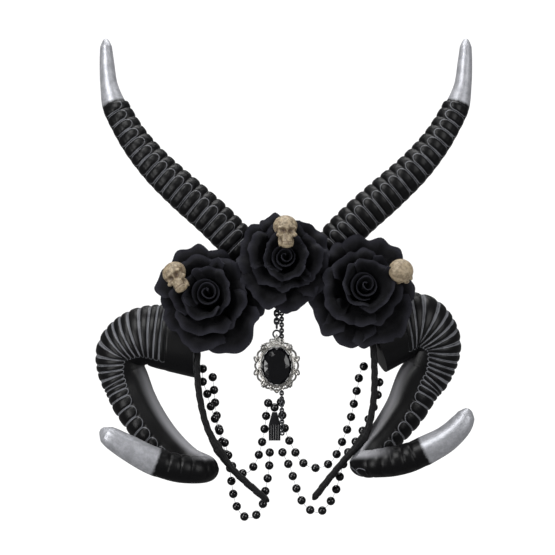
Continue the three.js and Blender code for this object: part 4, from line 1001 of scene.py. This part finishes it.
def stud(name, place, radius):
    """A round dome with a row of grains around it, its top pressed in."""
    start_fresh()
    bpy.ops.mesh.primitive_uv_sphere_add(segments=20, ring_count=12, radius=radius * MM,
                                         rotation=(math.pi / 2, 0, 0), scale=(1, 1, 0.75))
    dome = apply_place(bpy.context.object)
    select(dome, lambda place: place.y < -radius * 0.68 * MM, "FACE")
    bpy.ops.mesh.inset(thickness=radius * 0.08 * MM)
    bpy.ops.transform.translate(value=(0, radius * 0.12 * MM, 0))
    start_fresh()
    dome.data.transform(shifted(*place))
    bpy.ops.mesh.primitive_uv_sphere_add(segments=8, ring_count=6, radius=radius * 0.27 * MM)
    grain = bpy.context.object
    grains = []
    for i in range(9):
        turn = 2 * math.pi * i / 9
        grains.append(copy_piece(grain, f"{name}_grain_{i}", shifted(
            place[0] + radius * 0.98 * math.sin(turn), place[1] + 0.1, place[2] + radius * 0.98 * math.cos(turn))))
    bpy.data.objects.remove(grain)
    return join_pieces([dome, *grains], name)


def model_pendant_setting():
    """Open wirework round the bezel: an inner and an outer oval, hearts and loops between them,
    studs at the four corners, a point below and a bail above."""
    parts = [tube("bezel", oval(11.4, 14.2, 40), 0.75, 10, 120, closed=True),
             tube("bezel_lip", [(x, -2.9, z) for x, _, z in oval(10.75, 13.55, 40)], 0.42, 8, 120, closed=True),
             tube("rope", oval(12.5, 15.3, 120, 60, 0.016), 0.5, 8, 240, closed=True),
             tube("edge", oval(14.5, 17.0, 96, 12, 0.035), 0.72, 8, 200, closed=True)]

    def wall(u, v):
        turn = u * 2 * np.pi
        return np.column_stack([11.1 * np.sin(turn), 0.6 - 3.5 * v, 13.9 * np.cos(turn)])

    bezel = clean_mesh(draped_grid("bezel_wall", 64, 3, wall), fill=False)
    parts.append(add_modifier(bezel, "SOLIDIFY", thickness=0.55 * MM, offset=0.0))
    for i in range(12):
        turn = math.radians(30 * i + 15)
        parts.append(ring(f"loop_{i}", 1.35, 0.55, shifted(13.5 * math.sin(turn), -0.1, 16.1 * math.cos(turn)), 20, 8))
    heart = [(0, -1.9), (1.5, -0.2), (1.5, 1.3), (0.6, 1.5), (0, 0.6), (-0.6, 1.5), (-1.5, 1.3), (-1.5, -0.2)]
    for side in (-1, 1):
        for up in (4.6, -4.6):
            route = [(side * (14.2 + x * 0.9), -0.5, up + math.copysign(z * 1.15, z * up)) for x, z in heart]
            parts.append(tube("heart", route, 0.55, 8, 60, closed=True))
    for angle in (38, 142, 218, 322):
        turn = math.radians(angle)
        parts.append(stud("stud", (14.1 * math.sin(turn), -1.1, 16.4 * math.cos(turn)), 2.2))
    parts.append(tube("foot", [(0, -0.2, -16.6), (1.4, -0.2, -17.4), (0, -0.2, -18.8), (-1.4, -0.2, -17.4)],
                      0.55, 8, 50, True))
    parts.append(ring("crown", 1.6, 0.6, shifted(0, -0.2, 18.0)))
    parts += [ring("crown_side", 1.3, 0.55, shifted(s * 3.5, -0.2, 17.2)) for s in (-1, 1)]
    parts.append(ring("bail", 1.75, 0.65, shifted(0, 0, 19.5) @ Matrix.Rotation(math.pi / 2, 4, "Z")))
    setting = join_pieces(parts, "pendant_setting")
    setting.data.transform(shifted(*PENDANT_PLACE))
    return smooth(turn_outwards(setting), 45)


def model_pendant_stone():
    """Oval stone, cut upwards from its flat back: a girdle, two rows of facets and a table."""
    start_fresh()
    sides = 16
    bpy.ops.mesh.primitive_circle_add(vertices=sides, radius=0.95 * MM, fill_type="NGON")
    stone = bpy.context.object
    select(stone, lambda place: True, "FACE")
    size = 0.95
    for rise, wanted in ((0.45, 1.0), (0.35, 0.86), (0.2, 0.6)):
        bpy.ops.mesh.extrude_region_move(TRANSFORM_OT_translate={"value": (0, 0, rise * MM)})
        bpy.ops.transform.resize(value=(wanted / size, wanted / size, 1), center_override=(0, 0, 0))
        bpy.ops.transform.rotate(value=math.pi / sides, orient_axis="Z", center_override=(0, 0, 0))
        size = wanted
    bpy.ops.mesh.select_all(action="SELECT")
    bpy.ops.mesh.quads_convert_to_tris(quad_method="SHORTEST_DIAGONAL")
    bpy.ops.object.mode_set(mode="OBJECT")
    stone.data.transform(shifted(*PENDANT_PLACE) @ shifted(0, -1.2 - SEAT_GAP, 0) @ Matrix.Rotation(math.pi / 2, 4, "X")
                         @ Matrix.Diagonal((*STONE_HALF, STONE_DEPTH, 1)))
    return clean_mesh(stone)


# Strings and chains

def places_along(route, spacing, start=0.0):
    line = smooth_line(route, 16)
    count = max(2, int((line["total"] - 2 * start) / spacing) + 1)
    shares = np.linspace(start, line["total"] - start, count) / line["total"]
    point, tangent, side, across = frames_along(line, shares, (0.0, 1.0, 0.15))
    return [Matrix.Translation(Vector(p) * MM) @ Matrix((*zip(a, s, t),)).to_4x4()
            for p, t, s, a in zip(point, tangent, side, across)]


def drilled_bead(sizes):
    """A glass bead about its own middle; its hole, along Z, is sunk at both ends."""
    radius = sizes.bead_diameter / 2
    start_fresh()
    bpy.ops.mesh.primitive_uv_sphere_add(segments=24, ring_count=16, radius=radius)
    bead = bpy.context.object
    for end in (-1, 1):
        select(bead, lambda place: place.z * end > radius * 0.97, "FACE")
        bpy.ops.mesh.inset(thickness=radius * 0.05)
        bpy.ops.transform.translate(value=(0, 0, -end * radius * 0.3))
    bpy.ops.object.mode_set(mode="OBJECT")
    return smooth(bead, 50)


def model_bead_string(name, sizes, glass, thread):
    """Glass beads threaded at even steps on nylon; the bead is modelled once and copied."""
    first = drilled_bead(sizes)
    beads = [copy_piece(first, f"{name}_{i}", place) for i, place in enumerate(
        places_along(ROUTES[name], sizes.bead_spacing / MM, sizes.bead_diameter / MM / 2))]
    bpy.data.objects.remove(first)
    string = join_pieces(beads, name)
    string.data.materials.append(glass)
    line = smooth(tube(f"{name}_thread", ROUTES[name], sizes.thread_radius / MM, 6, 120), 60)
    line.data.materials.append(thread)
    return join_pieces([string, line], name)


def model_chain(name, route, half_long, half_wide, wire):
    """Oval links at right angles to each other along a route."""
    first = smooth(ring(name + "_link", half_wide, wire, None, 22, 8, half_long - half_wide), 60)
    links = [copy_piece(first, f"{name}_{i}", place @ Matrix.Rotation((i % 2) * math.pi / 2, 4, "Z"))
             for i, place in enumerate(places_along(route, 2 * (half_long - wire * 0.7), half_long + wire))]
    bpy.data.objects.remove(first)
    return join_pieces(links, name)


def model_comb():
    """A small comb: a tapered bar whose lower edge is drawn out into close, tapering teeth."""
    wide, bar, teeth, tooth, gap = 8.4, 9.0, 11.0, 1.64, 0.05
    start_fresh()
    bpy.ops.mesh.primitive_cube_add(size=MM, location=(0, 0, -bar / 2 * MM), scale=(wide, 2.6, bar))
    comb = apply_place(bpy.context.object)
    select(comb, lambda place: True, "FACE")
    for i in range(1, 5):
        middle = (i * (tooth + gap) - wide / 2) - gap / 2
        for x in (middle - gap / 2, middle + gap / 2):
            bpy.ops.mesh.select_all(action="SELECT")
            bpy.ops.mesh.bisect(plane_co=(x * MM, 0, 0), plane_no=(1, 0, 0), threshold=1e-6)
    select(comb, lambda place: place.z > -0.001 * MM, "VERT")
    bpy.ops.transform.resize(value=(0.42, 0.8, 1), center_override=(0, 0, 0))
    low = (1 - bar) * MM
    bpy.ops.object.mode_set(mode="OBJECT")
    spacing = (tooth + gap) * MM
    select(comb, lambda place: place.z < low and (place.x + wide / 2 * MM) % spacing < tooth * MM, "FACE")
    bpy.ops.mesh.extrude_region_move(TRANSFORM_OT_translate={"value": (0, 0, -teeth * MM)})
    bpy.ops.transform.resize(value=(0.98, 0.7, 1), center_override=(0, 0, -(bar + teeth) * MM))
    bpy.ops.object.mode_set(mode="OBJECT")
    add_modifier(comb, "BEVEL", width=0.08 * MM, segments=2, limit_method="ANGLE")
    comb.data.transform(shifted(*COMB_PLACE))
    return smooth(turn_outwards(comb), 40)


# Operators

class PieceOperator(bpy.types.Operator):
    """Common ground of the operators below."""

    bl_options = {"REGISTER", "UNDO"}

    @staticmethod
    def settings(context):
        return context.scene.headpiece_sizes, context.scene.headpiece_colours


class HEADPIECE_OT_headband(PieceOperator):
    """Adds the sprung headband in its ribbon."""

    bl_idname = "headpiece.headband"
    bl_label = "Headband"

    def execute(self, context):
        _, colours = self.settings(context)
        hand_over(model_headband(), "headband", [ribbon_finish(colours)])
        return {"FINISHED"}


class HEADPIECE_OT_upper_horns(PieceOperator):
    """Adds the two long ringed horns, cut where they meet the band."""

    bl_idname = "headpiece.upper_horns"
    bl_label = "Upper horns"

    def execute(self, context):
        sizes, colours = self.settings(context)
        pvc = finish("moulded_pvc_silvered_tips", horn_finish, colours)
        cutter = head_room()
        for side, name in ((-1, "horn_upper_left"), (1, "horn_upper_right")):
            hand_over(upper_horn(name, side, sizes, cutter), name, [pvc])
        bpy.data.objects.remove(cutter)
        return {"FINISHED"}


class HEADPIECE_OT_ram_horns(PieceOperator):
    """Adds the two curled ram horns, cut where they meet the band."""

    bl_idname = "headpiece.ram_horns"
    bl_label = "Ram horns"

    def execute(self, context):
        sizes, colours = self.settings(context)
        pvc = finish("moulded_pvc_silvered_tips", horn_finish, colours)
        cutter = head_room()
        for name, side, table, lift in RAM_HORNS:
            hand_over(ram_horn(name, side, table, lift, sizes, cutter), name, [pvc])
        bpy.data.objects.remove(cutter)
        return {"FINISHED"}


class HEADPIECE_OT_roses(PieceOperator):
    """Adds the three fabric roses, each of three layers of petals and a bud."""

    bl_idname = "headpiece.roses"
    bl_label = "Roses"

    def execute(self, context):
        sizes, colours = self.settings(context)
        cloth = petal_finish(colours)
        for rose_name in ROSES:
            for index in range(len(LAYERS)):
                petals, area, length = petal_layer(rose_name, index, sizes)
                hand_over(petals, f"{rose_name}_{LAYERS[index]['name']}", [cloth])
            bud, area = rosebud(rose_name, sizes)
            hand_over(bud, f"{rose_name}_bud", [cloth])
        return {"FINISHED"}


class HEADPIECE_OT_skulls(PieceOperator):
    """Adds the three skull charms: one is modelled, and the others are copies of it."""

    bl_idname = "headpiece.skulls"
    bl_label = "Skulls"

    def execute(self, context):
        _, colours = self.settings(context)
        bone = bone_finish(colours)
        first = skull_form()
        for name, skull in SKULLS.items():
            turn = (Matrix.Rotation(math.radians(skull["look"]), 4, "Z")
                    @ Matrix.Rotation(math.radians(skull["roll"]), 4, "Y"))
            charm = copy_piece(first, name, shifted(*skull["place"]) @ turn @ Matrix.Diagonal((*SKULL_SCALE, 1)))
            hand_over(charm, name, [bone])
        bpy.data.objects.remove(first)
        return {"FINISHED"}


class HEADPIECE_OT_pendant(PieceOperator):
    """Adds the forehead pendant: its pierced setting and its black stone."""

    bl_idname = "headpiece.pendant"
    bl_label = "Pendant"

    def execute(self, context):
        _, colours = self.settings(context)
        glass = finish("black_pressed_glass", glass_finish, colours)
        hand_over(model_pendant_setting(), "pendant_setting", [silver_finish(colours)], "pendant")
        hand_over(model_pendant_stone(), "pendant_stone", [glass], "pendant")
        return {"FINISHED"}


class HEADPIECE_OT_chains(PieceOperator):
    """Adds the jump ring and the short chain over the pendant, and the chain down the back."""

    bl_idname = "headpiece.chains"
    bl_label = "Chains"

    def execute(self, context):
        _, colours = self.settings(context)
        steel = wire_finish(colours)
        jump = smooth(ring("jump_ring", 2.55, 0.6, shifted(-6.5, -3.4, -46.1), 40, 12), 60)
        hand_over(jump, "jump_ring", [steel])
        low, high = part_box("pendant_chain")
        middle = (low + high) / 2 / MM
        drop = [(middle.x, middle.y, z / MM) for z in (high.z, (high.z + low.z) / 2, low.z)]
        hand_over(model_chain("pendant_chain", drop, 1.95, 1.4, 0.78), "pendant_chain", [steel])
        back = model_chain("back_chain", BACK_CHAIN_ROUTE, 1.4, 1.1, 0.58)
        hand_over(back, "back_chain", [steel])
        return {"FINISHED"}


class HEADPIECE_OT_bead_strings(PieceOperator):
    """Adds the four strings of glass beads and the bead where they gather."""

    bl_idname = "headpiece.bead_strings"
    bl_label = "Bead strings"

    def execute(self, context):
        sizes, colours = self.settings(context)
        glass = finish("black_pressed_glass", glass_finish, colours)
        thread = thread_finish(colours)
        for name in ROUTES:
            hand_over(model_bead_string(name, sizes, glass, thread), name, [])
        bead = drilled_bead(sizes)
        bead.data.transform(shifted(*GATHER_BEAD) @ Matrix.Rotation(math.pi / 2, 4, "Y"))
        hand_over(bead, "gather_bead", [glass])
        return {"FINISHED"}


class HEADPIECE_OT_comb(PieceOperator):
    """Adds the small comb at the back."""

    bl_idname = "headpiece.comb"
    bl_label = "Back comb"

    def execute(self, context):
        _, colours = self.settings(context)
        hand_over(model_comb(), "back_comb", [comb_finish(colours)])
        return {"FINISHED"}


class HEADPIECE_OT_stage(PieceOperator):
    """Adds the pale floor and backdrop, the soft lights and the camera."""

    bl_idname = "headpiece.stage"
    bl_label = "Studio stage"

    def execute(self, context):
        sizes, colours = self.settings(context)
        scene = context.scene
        opal = panel_finish(colours)
        start_fresh()
        for name, place, turn in (("studio_floor", (0, 0, -0.2), 0), ("studio_backdrop", (0, 2.6, 0), math.pi / 2)):
            bpy.ops.mesh.primitive_plane_add(size=60.0, location=place, rotation=(turn, 0, 0))
            panel = apply_place(bpy.context.object)
            panel.name = name
            panel.data.materials.append(opal)
            # As black flags do in a studio, this keeps the white panels out of the dark gloss
            panel.visible_glossy = False
        world = bpy.data.worlds.new("studio_air")
        scene.world = world
        world.use_nodes = True
        world.node_tree.nodes["Background"].inputs[0].default_value = (1, 1, 1, 1)
        world.node_tree.nodes["Background"].inputs[1].default_value = 0.16
        scene.view_settings.view_transform = "Standard"
        # Name, place, width and height, watts and the depth that it is aimed at
        lights = [("key_softbox", (-0.55, -0.9, 0.85), (0.7, 0.7), 17, 0.0),
                  ("fill_softbox", (0.9, -0.9, 0.3), (0.6, 0.9), 8, 0.0),
                  ("top_softbox", (0.0, 0.1, 1.0), (0.9, 0.5), 11, 0.0),
                  ("low_softbox", (-0.7, -0.6, -0.15), (0.3, 0.6), 5, 0.0),
                  ("backdrop_light", (0.0, 1.2, 1.4), (1.6, 0.6), 40, 2.6)]
        for name, place, size, power, depth in lights:
            bpy.ops.object.light_add(type="AREA", location=place)
            lamp = bpy.context.object
            lamp.name = name
            lamp.data.shape = "RECTANGLE"
            lamp.data.size, lamp.data.size_y = size
            lamp.data.energy = power
            lamp.rotation_euler = (Vector((0, depth, -0.02)) - Vector(place)).to_track_quat("-Z", "Y").to_euler()
        bpy.ops.object.camera_add()
        camera = bpy.context.object
        camera.name = "photo_camera"
        camera.data.lens, camera.data.sensor_width = 110, 36
        distance = sizes.camera_width * camera.data.lens / camera.data.sensor_width
        camera.location = (-5.95 * MM, -distance, -6.65 * MM)
        camera.rotation_euler = (math.pi / 2, 0, 0)
        camera.data.clip_start, camera.data.clip_end = 0.01, 20
        scene.camera = camera
        return {"FINISHED"}


OPERATORS = (HEADPIECE_OT_headband, HEADPIECE_OT_upper_horns, HEADPIECE_OT_ram_horns, HEADPIECE_OT_roses,
             HEADPIECE_OT_skulls, HEADPIECE_OT_pendant, HEADPIECE_OT_chains, HEADPIECE_OT_bead_strings,
             HEADPIECE_OT_comb, HEADPIECE_OT_stage)


class HEADPIECE_PT_panel(bpy.types.Panel):
    """Lists the operators in the order in which they are used."""

    bl_idname = "HEADPIECE_PT_panel"
    bl_label = "Devil horn headpiece"
    bl_space_type = "VIEW_3D"
    bl_region_type = "UI"
    bl_category = "Headpiece"

    def draw(self, context):
        for operator in OPERATORS:
            self.layout.operator(operator.bl_idname)


CLASSES = (HeadpieceSizes, HeadpieceColours, *OPERATORS, HEADPIECE_PT_panel)


def register():
    for cls in CLASSES:
        bpy.utils.register_class(cls)
    bpy.types.Scene.headpiece_sizes = PointerProperty(type=HeadpieceSizes)
    bpy.types.Scene.headpiece_colours = PointerProperty(type=HeadpieceColours)


def unregister():
    del bpy.types.Scene.headpiece_colours
    del bpy.types.Scene.headpiece_sizes
    for cls in reversed(CLASSES):
        bpy.utils.unregister_class(cls)


def main():
    register()
    bpy.ops.headpiece.headband()
    bpy.ops.headpiece.upper_horns()
    bpy.ops.headpiece.ram_horns()
    bpy.ops.headpiece.roses()
    bpy.ops.headpiece.skulls()
    bpy.ops.headpiece.pendant()
    bpy.ops.headpiece.chains()
    bpy.ops.headpiece.bead_strings()
    bpy.ops.headpiece.comb()
    bpy.ops.headpiece.stage()


if __name__ == "__main__":
    main()
